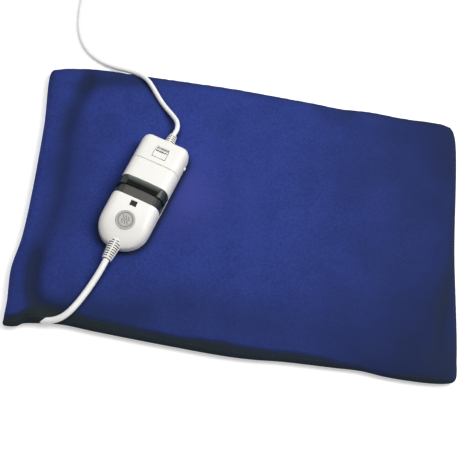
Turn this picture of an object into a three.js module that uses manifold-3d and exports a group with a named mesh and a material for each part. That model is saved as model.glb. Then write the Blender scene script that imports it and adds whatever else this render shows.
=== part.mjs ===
// A heating pad with its hand controller: a thin quilted pad, the moulded controller that lies on it, the
// lead between them, and the mains lead with its plug. Millimetres, +Z up, the pad lies on z = 0.
import * as THREE from 'three';
import { mergeVertices } from 'three/addons/utils/BufferGeometryUtils.js';
import Module from 'manifold-3d';

const wasm = await Module();
wasm.setup();

// Clearances
const seatGap = 0.3;
const runGap = 0.3;
const waddingGap = 0.8;
const cutOver = 4;

// Pad
const padLength = 450;
const padWidth = 310;
const seamHeight = 6.5;
const padCrown = 7;
const crownReach = 22;
const undersideReach = 9;
const coverThickness = 1.2;
const waddingInset = 16;
const clothInset = 18;
const clothThickness = 0.5;
const clothHeight = 5.7;
const valleyInset = 25;
const valleyWidth = 11;
const valleyDepth = 2;
const cornerValleyInset = 14;
const cornerValleyWidth = 7;
const cornerValleyDepth = 1.6;
const entryDentDepth = 1.8;
const entryDentRadius = 12;
const dentFromSide = 53;
const dentFromEnd = 16;

// Heating wire, its limiters and its joint to the lead
const wireDiameter = 2.2;
const wireRuns = 9;
const wireEndMargin = 39;
const wireSideMargin = 51;
const wireRunLength = padLength - 2 * wireEndMargin;
const wirePitch = (padWidth - 2 * wireSideMargin) / (wireRuns - 1);
const limiterLength = 16;
const limiterWidth = 9;
const limiterHeight = 3;
const spliceLength = 24;
const spliceWidth = 12;
const spliceHeight = 4;
const sleeveLength = 12;
const sleeveMouthRadius = 3.6;
const sleeveRootRadius = 3.3;
const sleeveFromSide = 33.4;
const sleeveFromEnd = 15.6;
const sleeveHeight = 6.9;

// Controller case
const caseHalfWidth = 26.5;
const caseTopLength = 104.5;
const caseCornerRadius = 9;
const caseHeight = 25;
const caseWall = 2;
const partingHeight = 9;
const topRound = 10;
const bottomRound = 3.5;
const crownRise = 0.6;
const noseHeight = 13;
const noseDrop = caseHeight - noseHeight;
const noseStart = 20;
const endCoverLength = 34;
const endSeam = caseTopLength - endCoverLength;
const bandTop = 46.5;
const bandBottom = 25;
const bandSink = 1.6;
const bandWall = 1.8;
const bandNotchBottom = 4.2;
const bandPlateWidth = 33;
const bandPlateThickness = 0.8;
const bandPlateMargin = 0.8;
const seamGrooveWidth = 0.9;
const seamGrooveDepth = 0.5;

// Heat slider and what it carries
const levelPitch = 3.6;
const levelSteps = 3;
const ridgeHeight = 2.2;
const ridgeLength = 3;
const ridgeWidth = 36;
const thumbDishRadius = 12;
const thumbDishDepth = 0.8;
const skirtBottom = 10.5;
const tabLength = 5;
const tabHeight = 3;
const tabReach = 3.3;
const carriageWall = 1.8;
const postWidth = 8;
const postLength = 4;
const wiperThickness = 0.4;
const wiperLength = 10;
const stripThickness = 0.8;
const stripWidth = 10;
const rackWidth = 2.4;
const rackHeight = 3.4;
const notchDepth = 0.5;
const detentThickness = 0.4;
const detentHeight = 2.6;

// Window, emblem, button and marker
const windowWidth = 7;
const windowLength = 6;
const windowCentre = 18.6;
const lensThickness = 1.5;
const emblemRadius = 9.8;
const emblemThickness = 0.9;
const emblemRimWidth = 1.4;
const emblemRimRise = 0.35;
const buttonWidth = 14.2;
const buttonLength = 9.2;
const buttonFromEnd = 22.9;
const buttonGap = 0.45;
const buttonCentre = caseTopLength - buttonFromEnd;
const buttonRise = 0.7;
const buttonDepth = 4.6;
const buttonFlange = 1.2;
const buttonFlangeHeight = 1.2;
const buttonStemRadius = 2;
const buttonTravel = 1.2;
const buttonEdge = 0.9;
const markerWidth = 13.4;
const markerLength = 3.2;
const markerThickness = 0.8;
const markerGap = 0.7;

// Push switch, spring and board
const boardHeight = 5;
const boardThickness = 1.6;
const boardInset = 4.4;
const boardBottom = -4;
const boardFromEnd = 8;
const boardTop = caseTopLength - boardFromEnd;
const switchWidth = 12;
const switchLength = 10;
const switchHeight = 6.4;
const springWire = 0.6;
const springRadius = 3.1;
const springTurns = 5;
const springStepsPerTurn = 6;
const fuseRadius = 2.6;
const fuseLength = 20;
const fuseCentreX = -12;
const fuseCentreY = 24;
const fuseAxisRise = 4;
const clipLength = 4;
const clipThickness = 0.5;
const rectifierWidth = 10;
const rectifierThickness = 4.6;
const rectifierTabHeight = 4.6;
const rectifierRoom = 2.8;
const rectifierX = 7;
const rectifierFromBand = 5.5;
const rectifierY = bandTop + rectifierFromBand;
const terminalWidth = 14;
const terminalLength = 6;
const terminalHeight = 7.4;
const terminalBore = 2.4;
const mainsTerminalFromEnd = 13;
const mainsTerminalY = caseTopLength - mainsTerminalFromEnd;
const padTerminalY = 3;
const coreDiameter = 2;
const coreSpacing = 6;

// Screws, bosses and catches
const screwSpan = 17.8;
const endScrewFromEnd = 10.5;
const endScrewY = caseTopLength - endScrewFromEnd;
const middleScrewY = (bandTop + endSeam) / 2;
const lowerScrewY = 8;
const screwRadius = 1.45;
const screwHeadRadius = 2.8;
const screwHeadHeight = 2;
const screwLength = 13;
const headRecess = 0.5;
const bossRadius = 3.2;
const shoulderRadius = 4.5;
const catchFromEnd = 17.5;
const catchY = caseTopLength - catchFromEnd;
const catchLength = 3;
const catchHeight = 2.6;
const catchBottom = 5.6;
const catchThickness = 1.5;
const catchReach = 0.2;
const releaseReach = 1.2;

// Strain reliefs
const reliefPitch = 2.5;
const slotLength = 1.1;
const slotDepth = 1.1;
const spineWidth = 1.6;
const reliefSides = 12;
const reliefPlateLength = 2.2;
const reliefPlateHalfWidth = 9;
const reliefPlateHalfHeight = 6;
const padReliefRadius = 6.25;
const padReliefTipRadius = 4.8;
const padReliefTip = -41.8;
const padReliefPlate = -10;
const padReliefTaperStart = -20;
const padReliefRows = 8;
const mainsReliefRadius = 6;
const mainsReliefTipRadius = 3.9;
const mainsReliefLength = 12.5;
const mainsReliefSeat = 7.1;
const mainsReliefTip = caseTopLength + mainsReliefLength;
const mainsReliefPlate = caseTopLength - mainsReliefSeat;
const mainsReliefTaperStart = caseTopLength;
const mainsReliefRows = 4;

// Where the controller lies on the pad, from the corner where its lead comes out
const cornerX = -padLength / 2;
const cornerY = -padWidth / 2;
const farSideY = padWidth / 2;
const controllerFromSide = 103.7;
const controllerFromEnd = 120.2;
const controllerX = cornerX + controllerFromSide;
const controllerY = cornerY + controllerFromEnd;
const controllerTurn = THREE.MathUtils.degToRad(-18.3);
const controllerLift = seamHeight + padCrown + seatGap;

// Cords
const padLeadDiameter = 6.5;
const mainsDiameter = 5;
const coilPitch = 5.6;
const coilInnerRadius = 20;
const coilTurnsIn = 3.5;
const coilTurnsOut = 3.25;
const coilStepsPerTurn = 20;
const coilSides = 6;
const coilFromPad = 153;
const leadColumnFromSide = 19;
const coilCentreY = farSideY + coilFromPad;
const leadColumnX = cornerX + leadColumnFromSide;
const tieThickness = 0.8;
const tieWidth = 4;

// Plug
const plugHalfWidth = 13;
const plugHalfHeight = 6.8;
const plugLength = 36;
const plugTailRadius = 4;
const plugFromColumn = 144;
const plugFromCoil = 22;
const plugX = leadColumnX + plugFromColumn;
const plugY = coilCentreY + plugFromCoil;
const plugTurn = THREE.MathUtils.degToRad(-98);
const pinRadius = 2;
const pinLength = 19;
const pinSpacing = 19;
const pinSeat = 5;

// Colours and finishes
const finishes = {
  fleece: { color: 0x2f3f86, roughness: 0.95, metalness: 0 },
  wadding: { color: 0xe8e6df, roughness: 1, metalness: 0 },
  cloth: { color: 0xf2efe6, roughness: 0.9, metalness: 0 },
  wire: { color: 0xd8d2c2, roughness: 0.6, metalness: 0 },
  white: { color: 0xf3f3f1, roughness: 0.28, metalness: 0 },
  cord: { color: 0xf0f0ee, roughness: 0.45, metalness: 0 },
  dark: { color: 0x17201d, roughness: 0.3, metalness: 0 },
  smoke: { color: 0x56504a, roughness: 0.25, metalness: 0 },
  lens: { color: 0x0b0b0d, roughness: 0.08, metalness: 0 },
  grey: { color: 0xa9a9a8, roughness: 0.4, metalness: 0 },
  board: { color: 0x2f6b3c, roughness: 0.6, metalness: 0 },
  steel: { color: 0xb8bbc0, roughness: 0.35, metalness: 1 },
  brass: { color: 0xc9a24a, roughness: 0.35, metalness: 1 },
  black: { color: 0x1a1a1c, roughness: 0.5, metalness: 0 },
};

const fullTurn = 2 * Math.PI;
const quarterTurn = Math.PI / 2;

const object = new THREE.Group();
const pad = new THREE.Group();
const controller = new THREE.Group();
const cords = new THREE.Group();
const plug = new THREE.Group();
controller.position.set(controllerX, controllerY, controllerLift);
controller.rotation.z = controllerTurn;
plug.position.set(plugX, plugY, plugHalfHeight);
plug.rotation.z = plugTurn;
cords.add(plug);
object.add(pad, controller, cords);

// Meshes and solids

function welded(geometry) {
  const bare = geometry.clone();
  bare.deleteAttribute('normal');
  bare.deleteAttribute('uv');
  const merged = mergeVertices(bare);
  const index = merged.index.array;
  const kept = [];
  for (let i = 0; i < index.length; i += 3) {
    const [a, b, c] = [index[i], index[i + 1], index[i + 2]];
    if (a !== b && b !== c && c !== a) {
      kept.push(a, b, c);
    }
  }
  merged.setIndex(kept);
  return merged;
}

function toSolid(geometry) {
  const mesh = welded(geometry);
  return new wasm.Manifold(
    new wasm.Mesh({
      numProp: 3,
      vertProperties: new Float32Array(mesh.attributes.position.array),
      triVerts: new Uint32Array(mesh.index.array),
    }),
  );
}

function toGeometry(solid) {
  const mesh = solid.getMesh();
  const geometry = new THREE.BufferGeometry();
  geometry.setAttribute('position', new THREE.BufferAttribute(mesh.vertProperties, 3));
  geometry.setIndex([...mesh.triVerts]);
  return geometry;
}

function addPiece(name, shape, finish, parent) {
  const geometry = shape.isBufferGeometry ? shape : toGeometry(shape);
  geometry.deleteAttribute('normal');
  geometry.computeVertexNormals();
  const mesh = new THREE.Mesh(geometry, new THREE.MeshStandardMaterial(finishes[finish]));
  mesh.name = name;
  parent.add(mesh);
  return mesh;
}

function block(xRange, yRange, zRange) {
  const size = [xRange, yRange, zRange].map(([low, high]) => high - low);
  const middle = [xRange, yRange, zRange].map(([low, high]) => (low + high) / 2);
  const geometry = new THREE.BoxGeometry(...size);
  geometry.translate(...middle);
  return toSolid(geometry);
}

function extruded(shape, depth, curveSegments = 4) {
  return new THREE.ExtrudeGeometry(shape, { depth, bevelEnabled: false, curveSegments });
}

function postAt(x, y, zRange, radius, sides = 12) {
  const [low, high] = zRange;
  const geometry = new THREE.CylinderGeometry(radius, radius, high - low, sides);
  geometry.rotateX(quarterTurn);
  geometry.translate(x, y, (low + high) / 2);
  return toSolid(geometry);
}

// A closed skin over rings of equal count, each running anticlockwise seen from above where they climb
function skin(rings, capped) {
  const points = rings.flat(2);
  const count = rings[0].length;
  const faces = [];
  for (let r = 0; r < rings.length - 1; r += 1) {
    for (let i = 0; i < count; i += 1) {
      const here = r * count + i;
      const next = r * count + (i + 1) % count;
      faces.push(here, next, next + count, here, next + count, here + count);
    }
  }
  if (capped) {
    const ends = [[rings[0], 0, true], [rings.at(-1), (rings.length - 1) * count, false]];
    for (const [ring, first, flip] of ends) {
      const middle = points.length / 3;
      points.push(...[0, 1, 2].map((axis) => ring.reduce((sum, point) => sum + point[axis], 0) / count));
      for (let i = 0; i < count; i += 1) {
        const here = first + i;
        const next = first + (i + 1) % count;
        faces.push(middle, flip ? next : here, flip ? here : next);
      }
    }
  }
  const geometry = new THREE.BufferGeometry();
  geometry.setAttribute('position', new THREE.Float32BufferAttribute(points, 3));
  geometry.setIndex(faces);
  return welded(geometry);
}

// A tube whose rings stand square to a list of points, for coils, springs and wires
function tubeThrough(points, radius, sides) {
  const up = new THREE.Vector3(0, 0, 1);
  const rings = points.map((point, i) => {
    const before = points[Math.max(i - 1, 0)];
    const after = points[Math.min(i + 1, points.length - 1)];
    const along = after.clone().sub(before).normalize();
    const side = up.clone().cross(along).normalize();
    const rise = along.clone().cross(side);
    return Array.from({ length: sides }, (_, k) => {
      const angle = (fullTurn * k) / sides;
      return point.clone()
        .addScaledVector(side, radius * Math.cos(angle))
        .addScaledVector(rise, radius * Math.sin(angle))
        .toArray();
    });
  });
  return skin(rings, true);
}

function cordTube(route, diameter, sides, steps) {
  const section = new THREE.Shape();
  for (let k = 0; k < sides; k += 1) {
    const angle = (fullTurn * k) / sides;
    const place = [(diameter / 2) * Math.cos(angle), (diameter / 2) * Math.sin(angle)];
    if (k === 0) {
      section.moveTo(...place);
    } else {
      section.lineTo(...place);
    }
  }
  section.closePath();
  const path = new THREE.CatmullRomCurve3(route.map((point) => new THREE.Vector3(...point)));
  return welded(new THREE.ExtrudeGeometry(section, { steps, bevelEnabled: false, extrudePath: path }));
}

// Pad: an outline in shares of the half length and half width, anticlockwise from the corner by the lead
const padOutlineShares = [
  [-0.93, -0.955], [-0.907, -0.924], [-0.846, -0.917], [-0.744, -0.904], [-0.445, -0.93], [0.3, -0.955],
  [0.568, -0.949], [0.749, -0.994], [0.885, -1], [0.965, -0.981], [0.991, -0.962], [1, -0.803],
  [0.991, -0.089], [0.991, 0.866], [0.974, 0.917], [0.925, 0.949], [0.722, 0.949], [0.568, 0.968],
  [0.419, 0.955], [0.317, 0.968],
  [-0.423, 0.994], [-0.74, 1], [-0.811, 0.994], [-0.974, 0.943], [-0.987, 0.924], [-0.974, 0.471],
  [-0.978, -0.338], [-1, -0.586], [-0.991, -0.809], [-0.991, -0.924], [-0.987, -0.968],
];
const padEdgeSteps = 2 * padOutlineShares.length;
const padEdge = makePadEdge();

function makePadEdge() {
  const corners = padOutlineShares.map(([x, y]) => new THREE.Vector3(x, y, 0));
  const points = new THREE.CatmullRomCurve3(corners, true).getPoints(padEdgeSteps).slice(0, padEdgeSteps);
  const box = new THREE.Box3().setFromPoints(points);
  const middle = box.getCenter(new THREE.Vector3());
  const size = box.getSize(new THREE.Vector3());
  return points.map((point) => [
    ((point.x - middle.x) / size.x) * padLength,
    ((point.y - middle.y) / size.y) * padWidth,
  ]);
}

const padHalfLength = padLength / 2;
const padHalfWidth = padWidth / 2;
const crownPower = 2.2;
const entryPlace = [cornerX + dentFromSide, cornerY + dentFromEnd];

function bulge(inset, reach) {
  const left = 1 - Math.min(inset / reach, 1);
  return Math.sqrt(1 - left ** crownPower);
}

function bell(distance, width) {
  return Math.exp(-((distance / width) ** 2));
}

// Height of the top panel: a crown drawn in to the seam, less the long dents that the pad shows
function padTop(x, y, inset) {
  const edgeX = padHalfLength - Math.abs(x);
  const sideValley = x < 0 ? valleyDepth * bell(edgeX - valleyInset, valleyWidth) : 0;
  const low = THREE.MathUtils.smoothstep(-y, 0, padHalfWidth);
  const besideCorner = low * bell(edgeX - cornerValleyInset, cornerValleyWidth);
  const cornerValley = x > 0 ? cornerValleyDepth * besideCorner : 0;
  const dent = entryDentDepth * bell(Math.hypot(x - entryPlace[0], y - entryPlace[1]), entryDentRadius);
  const dents = (sideValley + cornerValley + dent) * bulge(inset, crownReach);
  return seamHeight + padCrown * bulge(inset, crownReach) - dents;
}

function padRing(inset, heightAt) {
  const shareX = 1 - inset / padHalfLength;
  const shareY = 1 - inset / padHalfWidth;
  return padEdge.map(([x, y]) => [x * shareX, y * shareY, heightAt(x * shareX, y * shareY)]);
}

// Insets of the rings, as shares of the half width
const topRingShares = [0.006, 0.02, 0.044, 0.075, 0.115, 0.16, 0.215, 0.28, 0.96];
const innerRingShares = [0.03, 0.075, 0.115, 0.16, 0.28, 0.96];
const waddingRingShares = innerRingShares.slice(2);
const undersideRingShares = [0.006, 0.02, 0.06, 0.96];

function topPanel() {
  const rim = seamHeight + seatGap / 2;
  const inner = innerRingShares.map((share) => share * padHalfWidth);
  const outer = topRingShares.map((share) => share * padHalfWidth);
  const rings = inner.toReversed().map((inset) => {
    return padRing(inset, (x, y) => padTop(x, y, inset) - coverThickness);
  });
  rings.push(padRing(coverThickness, () => rim));
  rings.push(padRing(0, () => rim));
  outer.forEach((inset) => rings.push(padRing(inset, (x, y) => Math.max(padTop(x, y, inset), rim))));
  return skin(rings, true);
}

function underside(inset) {
  return seamHeight * (1 - bulge(inset, undersideReach));
}

function bottomPanel() {
  const rim = seamHeight - seatGap / 2;
  const insets = undersideRingShares.map((share) => share * padHalfWidth);
  const rings = insets.toReversed().map((inset) => padRing(inset, () => underside(inset)));
  rings.push(padRing(0, () => rim));
  rings.push(padRing(coverThickness, () => rim));
  insets.slice(1).forEach((inset) => {
    rings.push(padRing(inset + coverThickness, () => underside(inset) + coverThickness));
  });
  return skin(rings, true);
}

function padSlab(inset, bottom, top) {
  const rings = [padRing(padHalfWidth * innerRingShares.at(-1), () => bottom)];
  rings.push(padRing(inset, () => bottom));
  rings.push(padRing(inset, () => top));
  rings.push(padRing(padHalfWidth * innerRingShares.at(-1), () => top));
  return skin(rings, true);
}

const clothTop = clothHeight + clothThickness;
const wireHeight = clothTop + seatGap + wireDiameter / 2;
const upperWaddingBottom = wireHeight + wireDiameter / 2 + seatGap;

function upperWadding() {
  const insets = waddingRingShares.map((share) => share * padHalfWidth);
  const rings = [padRing(insets.at(-1), () => upperWaddingBottom)];
  rings.push(padRing(insets[0], () => upperWaddingBottom));
  insets.forEach((inset) => {
    rings.push(padRing(inset, (x, y) => padTop(x, y, inset) - coverThickness - waddingGap));
  });
  return skin(rings, true);
}

// Heating wire: level runs along the pad, joined by half rounds, and a return along the short side
function wirePoints() {
  const halfRun = wireRunLength / 2;
  const first = (-wirePitch * (wireRuns - 1)) / 2;
  const turnSteps = 6;
  const points = [];
  for (let run = 0; run < wireRuns; run += 1) {
    const y = first + run * wirePitch;
    const way = run % 2 === 0 ? 1 : -1;
    points.push([-way * halfRun, y], [way * halfRun, y]);
    if (run < wireRuns - 1) {
      for (let k = 1; k < turnSteps; k += 1) {
        const angle = -quarterTurn + (Math.PI * k) / turnSteps;
        const reach = (wirePitch / 2) * Math.cos(angle);
        const rise = (wirePitch / 2) * (1 + Math.sin(angle));
        points.push([way * (halfRun + reach), y + rise]);
      }
    }
  }
  return points.map(([x, y]) => new THREE.Vector3(x, y, wireHeight));
}

const limiterPlaces = [[-wireRunLength / 4, wirePitch / 2], [wireRunLength / 4, -wirePitch / 2]];
const splicePlace = [
  -wireRunLength / 2 + spliceLength / 2,
  (-wirePitch * (wireRuns - 1)) / 2 - wireDiameter / 2 - seatGap - spliceWidth / 2,
];

function roundedBlock(length, width, height, corner) {
  const shape = new THREE.Shape();
  const x = length / 2 - corner;
  const y = width / 2 - corner;
  shape.absarc(x, -y, corner, -quarterTurn, 0, false);
  shape.absarc(x, y, corner, 0, quarterTurn, false);
  shape.absarc(-x, y, corner, quarterTurn, Math.PI, false);
  shape.absarc(-x, -y, corner, Math.PI, Math.PI + quarterTurn, false);
  return extruded(shape, height, 3);
}

const sleeveMouth = new THREE.Vector3(cornerX + sleeveFromSide, cornerY + sleeveFromEnd, sleeveHeight);
const sleeveAxis = new THREE.Vector3(-0.95, 0.28, -0.12).normalize();
const beforeSleeve = (distance) => sleeveMouth.clone().addScaledVector(sleeveAxis, -distance).toArray();
const fromCorner = ([x, y, z]) => [cornerX + x, cornerY + y, z];
const fromFarSide = ([x, y, z]) => [cornerX + x, farSideY + y, z];

// A point beyond the tip of a strain relief, on its axis
function beyondRelief(tip, distance) {
  const along = tip + Math.sign(tip) * distance;
  const way = new THREE.Vector3(0, 1, 0).applyAxisAngle(new THREE.Vector3(0, 0, 1), controllerTurn);
  return [controllerX + way.x * along, controllerY + way.y * along, controllerLift + partingHeight];
}

const padLeadRoute = [
  beyondRelief(padReliefTip, seatGap), beyondRelief(padReliefTip, padLeadDiameter),
  ...[
    [86.4, 68.6, 22], [84, 62.9, 21], [81.4, 57.2, 20], [78.8, 51.6, 19.2], [76, 45.9, 18.4],
    [73, 40.3, 17.9], [69.9, 34.7, 17.3], [66.5, 29.3, 16.7], [62.7, 24.1, 15.8], [58.5, 20, 14.2],
    [53.3, 16.8, 12.1], [47.6, 14.9, 10.1], [41.7, 14.2, 8.5],
  ].map(fromCorner),
  beforeSleeve(padLeadDiameter / 2), beforeSleeve(seatGap),
];

function sleeve(clearance) {
  const profile = [
    [0, -clearance], [sleeveMouthRadius + clearance, -clearance],
    [sleeveRootRadius + clearance, sleeveLength / 2],
    [sleeveRootRadius + clearance, sleeveLength + clearance],
    [0, sleeveLength + clearance],
  ];
  const geometry = new THREE.LatheGeometry(profile.map(([r, y]) => new THREE.Vector2(r, y)), 14);
  geometry.applyQuaternion(new THREE.Quaternion().setFromUnitVectors(new THREE.Vector3(0, 1, 0), sleeveAxis));
  geometry.translate(...sleeveMouth.toArray());
  return geometry;
}

function buildPad() {
  const leadSpace = toSolid(cordTube(padLeadRoute, padLeadDiameter + 2 * seatGap, 10, 30));
  const sleeveSpace = toSolid(sleeve(seatGap));
  const entrySpace = leadSpace.add(sleeveSpace);
  const joint = roundedBlock(spliceLength, spliceWidth, spliceHeight, spliceWidth / 4);
  joint.translate(splicePlace[0], splicePlace[1], clothTop + seatGap);
  const limiter = roundedBlock(limiterLength, limiterWidth, limiterHeight, limiterHeight / 2);
  limiter.translate(0, 0, clothTop + seatGap);

  const pocket = (length, width, height, [x, y]) => block(
    [x - length / 2 - seatGap, x + length / 2 + seatGap],
    [y - width / 2 - seatGap, y + width / 2 + seatGap],
    [clothTop, clothTop + 2 * seatGap + height],
  );
  const splicePocket = pocket(spliceLength, spliceWidth, spliceHeight, splicePlace);
  let wadding = toSolid(upperWadding()).subtract(splicePocket);
  limiterPlaces.forEach((place) => {
    wadding = wadding.subtract(pocket(limiterLength, limiterWidth, limiterHeight, place));
  });

  addPiece('pad_cover_top', toSolid(topPanel()).subtract(entrySpace), 'fleece', pad);
  addPiece('pad_cover_bottom', toSolid(bottomPanel()).subtract(entrySpace), 'fleece', pad);
  addPiece('wadding_top', wadding.subtract(entrySpace), 'wadding', pad);
  const lowerTop = clothHeight - seatGap;
  const lower = toSolid(padSlab(waddingInset, coverThickness + seatGap, lowerTop));
  addPiece('wadding_bottom', lower.subtract(entrySpace), 'wadding', pad);
  const cloth = toSolid(padSlab(clothInset, clothHeight, clothTop));
  addPiece('heater_cloth', cloth.subtract(entrySpace), 'cloth', pad);
  addPiece('heating_wire', tubeThrough(wirePoints(), wireDiameter / 2, 5), 'wire', pad);
  addPiece('lead_splice', joint, 'white', pad);
  limiterPlaces.forEach(([x, y], i) => {
    addPiece(`heat_limiter_${i + 1}`, limiter.clone(), 'black', pad).position.set(x, y, 0);
  });
  addPiece('lead_entry_sleeve', sleeve(0), 'cord', pad);
}

// Case: one outline, drawn in by an inset, and one skin over it

const sideSteps = 6;
const cornerSteps = 4;
const endSteps = 2;
const noseSteps = 16;
const bottomSteps = 2;
const roundSteps = 5;
const sidePower = 1.4;
const roundPower = 2 / 2.3;
const nosePower = 1.7;
const crownShares = [0.4, 1];

function caseOutline(inset) {
  const half = caseHalfWidth - inset;
  const corner = Math.max(caseCornerRadius - inset, 0);
  const top = caseTopLength - inset;
  const sideShares = Array.from({ length: sideSteps }, (_, k) => (k / sideSteps) ** sidePower);
  const arc = (middleX, start) => Array.from({ length: cornerSteps + 1 }, (_, k) => {
    const angle = start + (quarterTurn * k) / cornerSteps;
    return [middleX + corner * Math.cos(angle), top - corner + corner * Math.sin(angle)];
  });
  const right = sideShares.map((share) => [half, (top - corner) * share]);
  const end = Array.from({ length: endSteps - 1 }, (_, k) => {
    return [(half - corner) * (1 - (2 * (k + 1)) / endSteps), top];
  });
  const left = sideShares.toReversed().map((share) => [-half, (top - corner) * share]);
  const nose = Array.from({ length: noseSteps - 1 }, (_, k) => {
    const angle = Math.PI + (Math.PI * (k + 1)) / noseSteps;
    return [half * Math.cos(angle), half * Math.sin(angle)];
  });
  return [...right, ...arc(half - corner, 0), ...end, ...arc(corner - half, quarterTurn), ...left, ...nose];
}

// Height of the case along its length: level, then falling to the round nose
function caseTop(y) {
  const share = Math.max(noseStart - y, 0) / (noseStart + caseHalfWidth);
  return caseHeight - noseDrop * share ** nosePower;
}

function caseRing(inset, heightAt) {
  return caseOutline(inset).map(([x, y]) => [x, y, heightAt(y)]);
}

function caseSkin(inset) {
  const rings = [caseRing(caseHalfWidth, () => inset)];
  for (let k = 0; k <= bottomSteps; k += 1) {
    const angle = (quarterTurn * k) / bottomSteps;
    const height = inset + bottomRound * (1 - Math.cos(angle));
    rings.push(caseRing(inset + bottomRound * (1 - Math.sin(angle)), () => height));
  }
  for (let k = 0; k <= roundSteps; k += 1) {
    const angle = (quarterTurn * k) / roundSteps;
    const draw = topRound * (1 - Math.max(Math.cos(angle), 0) ** roundPower);
    const lift = Math.sin(angle) ** roundPower;
    rings.push(caseRing(inset + draw, (y) => partingHeight + (caseTop(y) - inset - partingHeight) * lift));
  }
  crownShares.forEach((share) => {
    const draw = topRound + (caseHalfWidth - inset - topRound) * share;
    rings.push(caseRing(inset + draw, (y) => caseTop(y) - inset + crownRise * (1 - (1 - share) ** 2)));
  });
  return toSolid(skin(rings, false));
}

const caseOuter = caseSkin(0);
const caseInner = caseSkin(caseWall);
const caseShell = caseOuter.subtract(caseInner);
const reach = caseTopLength + cutOver;
const wide = caseHalfWidth + cutOver;
const high = caseHeight + cutOver;

function slice(solid, yRange, zRange) {
  return solid.intersect(block([-wide, wide], yRange, zRange));
}

const screwPlaces = [endScrewY, middleScrewY, lowerScrewY].flatMap((y) => [[-screwSpan, y], [screwSpan, y]]);
const upperStart = partingHeight + seatGap / 2;
const lowerEnd = partingHeight - seatGap / 2;
const headSeat = headRecess + screwHeadHeight + seatGap;
const shoulderTop = boardHeight - seatGap;
const shankHole = screwRadius + seatGap;

function lowerBoss([x, y]) {
  const shoulder = postAt(x, y, [caseWall / 2, shoulderTop], shoulderRadius);
  return shoulder.add(postAt(x, y, [caseWall / 2, lowerEnd], bossRadius));
}

function screwSpace([x, y]) {
  const head = postAt(x, y, [-cutOver, headSeat], screwHeadRadius + seatGap);
  return head.add(postAt(x, y, [-cutOver, headRecess + screwHeadHeight + screwLength + seatGap], shankHole));
}

function withUpperBosses(cover, places) {
  const bosses = places.map(([x, y]) => {
    return postAt(x, y, [upperStart, caseHeight], bossRadius).intersect(caseOuter);
  });
  return bosses.reduce((sum, boss, i) => sum.add(boss).subtract(screwSpace(places[i])), cover);
}

function alongCase(radius, yRange) {
  const [low, top] = yRange;
  const geometry = new THREE.CylinderGeometry(radius, radius, top - low, reliefSides);
  geometry.translate(0, (low + top) / 2, partingHeight);
  return toSolid(geometry);
}

// Strain reliefs: a tapered sleeve with rows of slots between four spines, held by a plate inside the wall
function slotRow(y, radius) {
  const outer = radius + slotDepth;
  const core = alongCase(radius - slotDepth, [y - slotLength, y + slotLength]);
  const ring = alongCase(outer, [y - slotLength / 2, y + slotLength / 2]).subtract(core);
  const spine = [-spineWidth / 2, spineWidth / 2];
  const yRange = [y - slotLength, y + slotLength];
  const across = block([-outer, outer], yRange, spine.map((z) => partingHeight + z));
  const upright = block(spine, yRange, [partingHeight - outer, partingHeight + outer]);
  return ring.subtract(across).subtract(upright);
}

function strainRelief({ radius, tipRadius, tip, plate, taperStart, rows }) {
  const way = Math.sign(tip - plate);
  const edge = seatGap;
  const profile = [
    [0, plate], [radius, plate], [radius, taperStart],
    [tipRadius + edge, tip - way * edge * 2], [tipRadius, tip], [0, tip],
  ].map(([r, y]) => new THREE.Vector2(r, y));
  const turned = new THREE.LatheGeometry(way > 0 ? profile : profile.toReversed(), reliefSides);
  turned.translate(0, 0, partingHeight);
  let solid = toSolid(turned).add(block(
    [-reliefPlateHalfWidth, reliefPlateHalfWidth],
    [Math.min(plate, plate + way * reliefPlateLength), Math.max(plate, plate + way * reliefPlateLength)],
    [partingHeight - reliefPlateHalfHeight, partingHeight + reliefPlateHalfHeight],
  ));
  for (let row = 0; row < rows; row += 1) {
    const y = tip - way * (reliefPitch + row * reliefPitch);
    const share = Math.min(Math.abs(tip - y) / Math.abs(tip - taperStart), 1);
    solid = solid.subtract(slotRow(y, tipRadius + (radius - tipRadius) * share));
  }
  return solid;
}

const padReliefHole = alongCase(padReliefRadius + seatGap, [padReliefTip, padReliefPlate + seatGap]);
const mainsReliefHole = alongCase(mainsReliefRadius + seatGap, [mainsReliefPlate - seatGap, reach]);

// Snap catches of the end cover, in a small window on each side of the base; one stands out as its release
function catchSpace(side, clearance) {
  const inner = caseHalfWidth - caseWall - catchThickness - seatGap;
  const outer = caseHalfWidth + (side > 0 ? releaseReach : catchReach);
  const x = [side * (inner - clearance), side * (outer + (clearance ? cutOver : 0))];
  return block(
    [Math.min(...x), Math.max(...x)],
    [catchY - catchLength / 2 - clearance, catchY + catchLength / 2 + clearance],
    [catchBottom - clearance, catchBottom + catchHeight + clearance],
  );
}

function catchArm(side) {
  const inner = caseHalfWidth - caseWall - catchThickness - seatGap;
  const outer = inner + catchThickness;
  const arm = block(
    [Math.min(side * inner, side * outer), Math.max(side * inner, side * outer)],
    [catchY - catchLength / 2, catchY + catchLength / 2],
    [catchBottom, upperStart + catchHeight],
  );
  const rootX = [side * inner, side * (caseHalfWidth - caseWall / 2)];
  const root = block(
    [Math.min(...rootX), Math.max(...rootX)],
    [catchY - catchLength / 2, catchY + catchLength / 2],
    [upperStart, upperStart + catchHeight],
  );
  return arm.add(root).add(catchSpace(side, 0));
}

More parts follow.
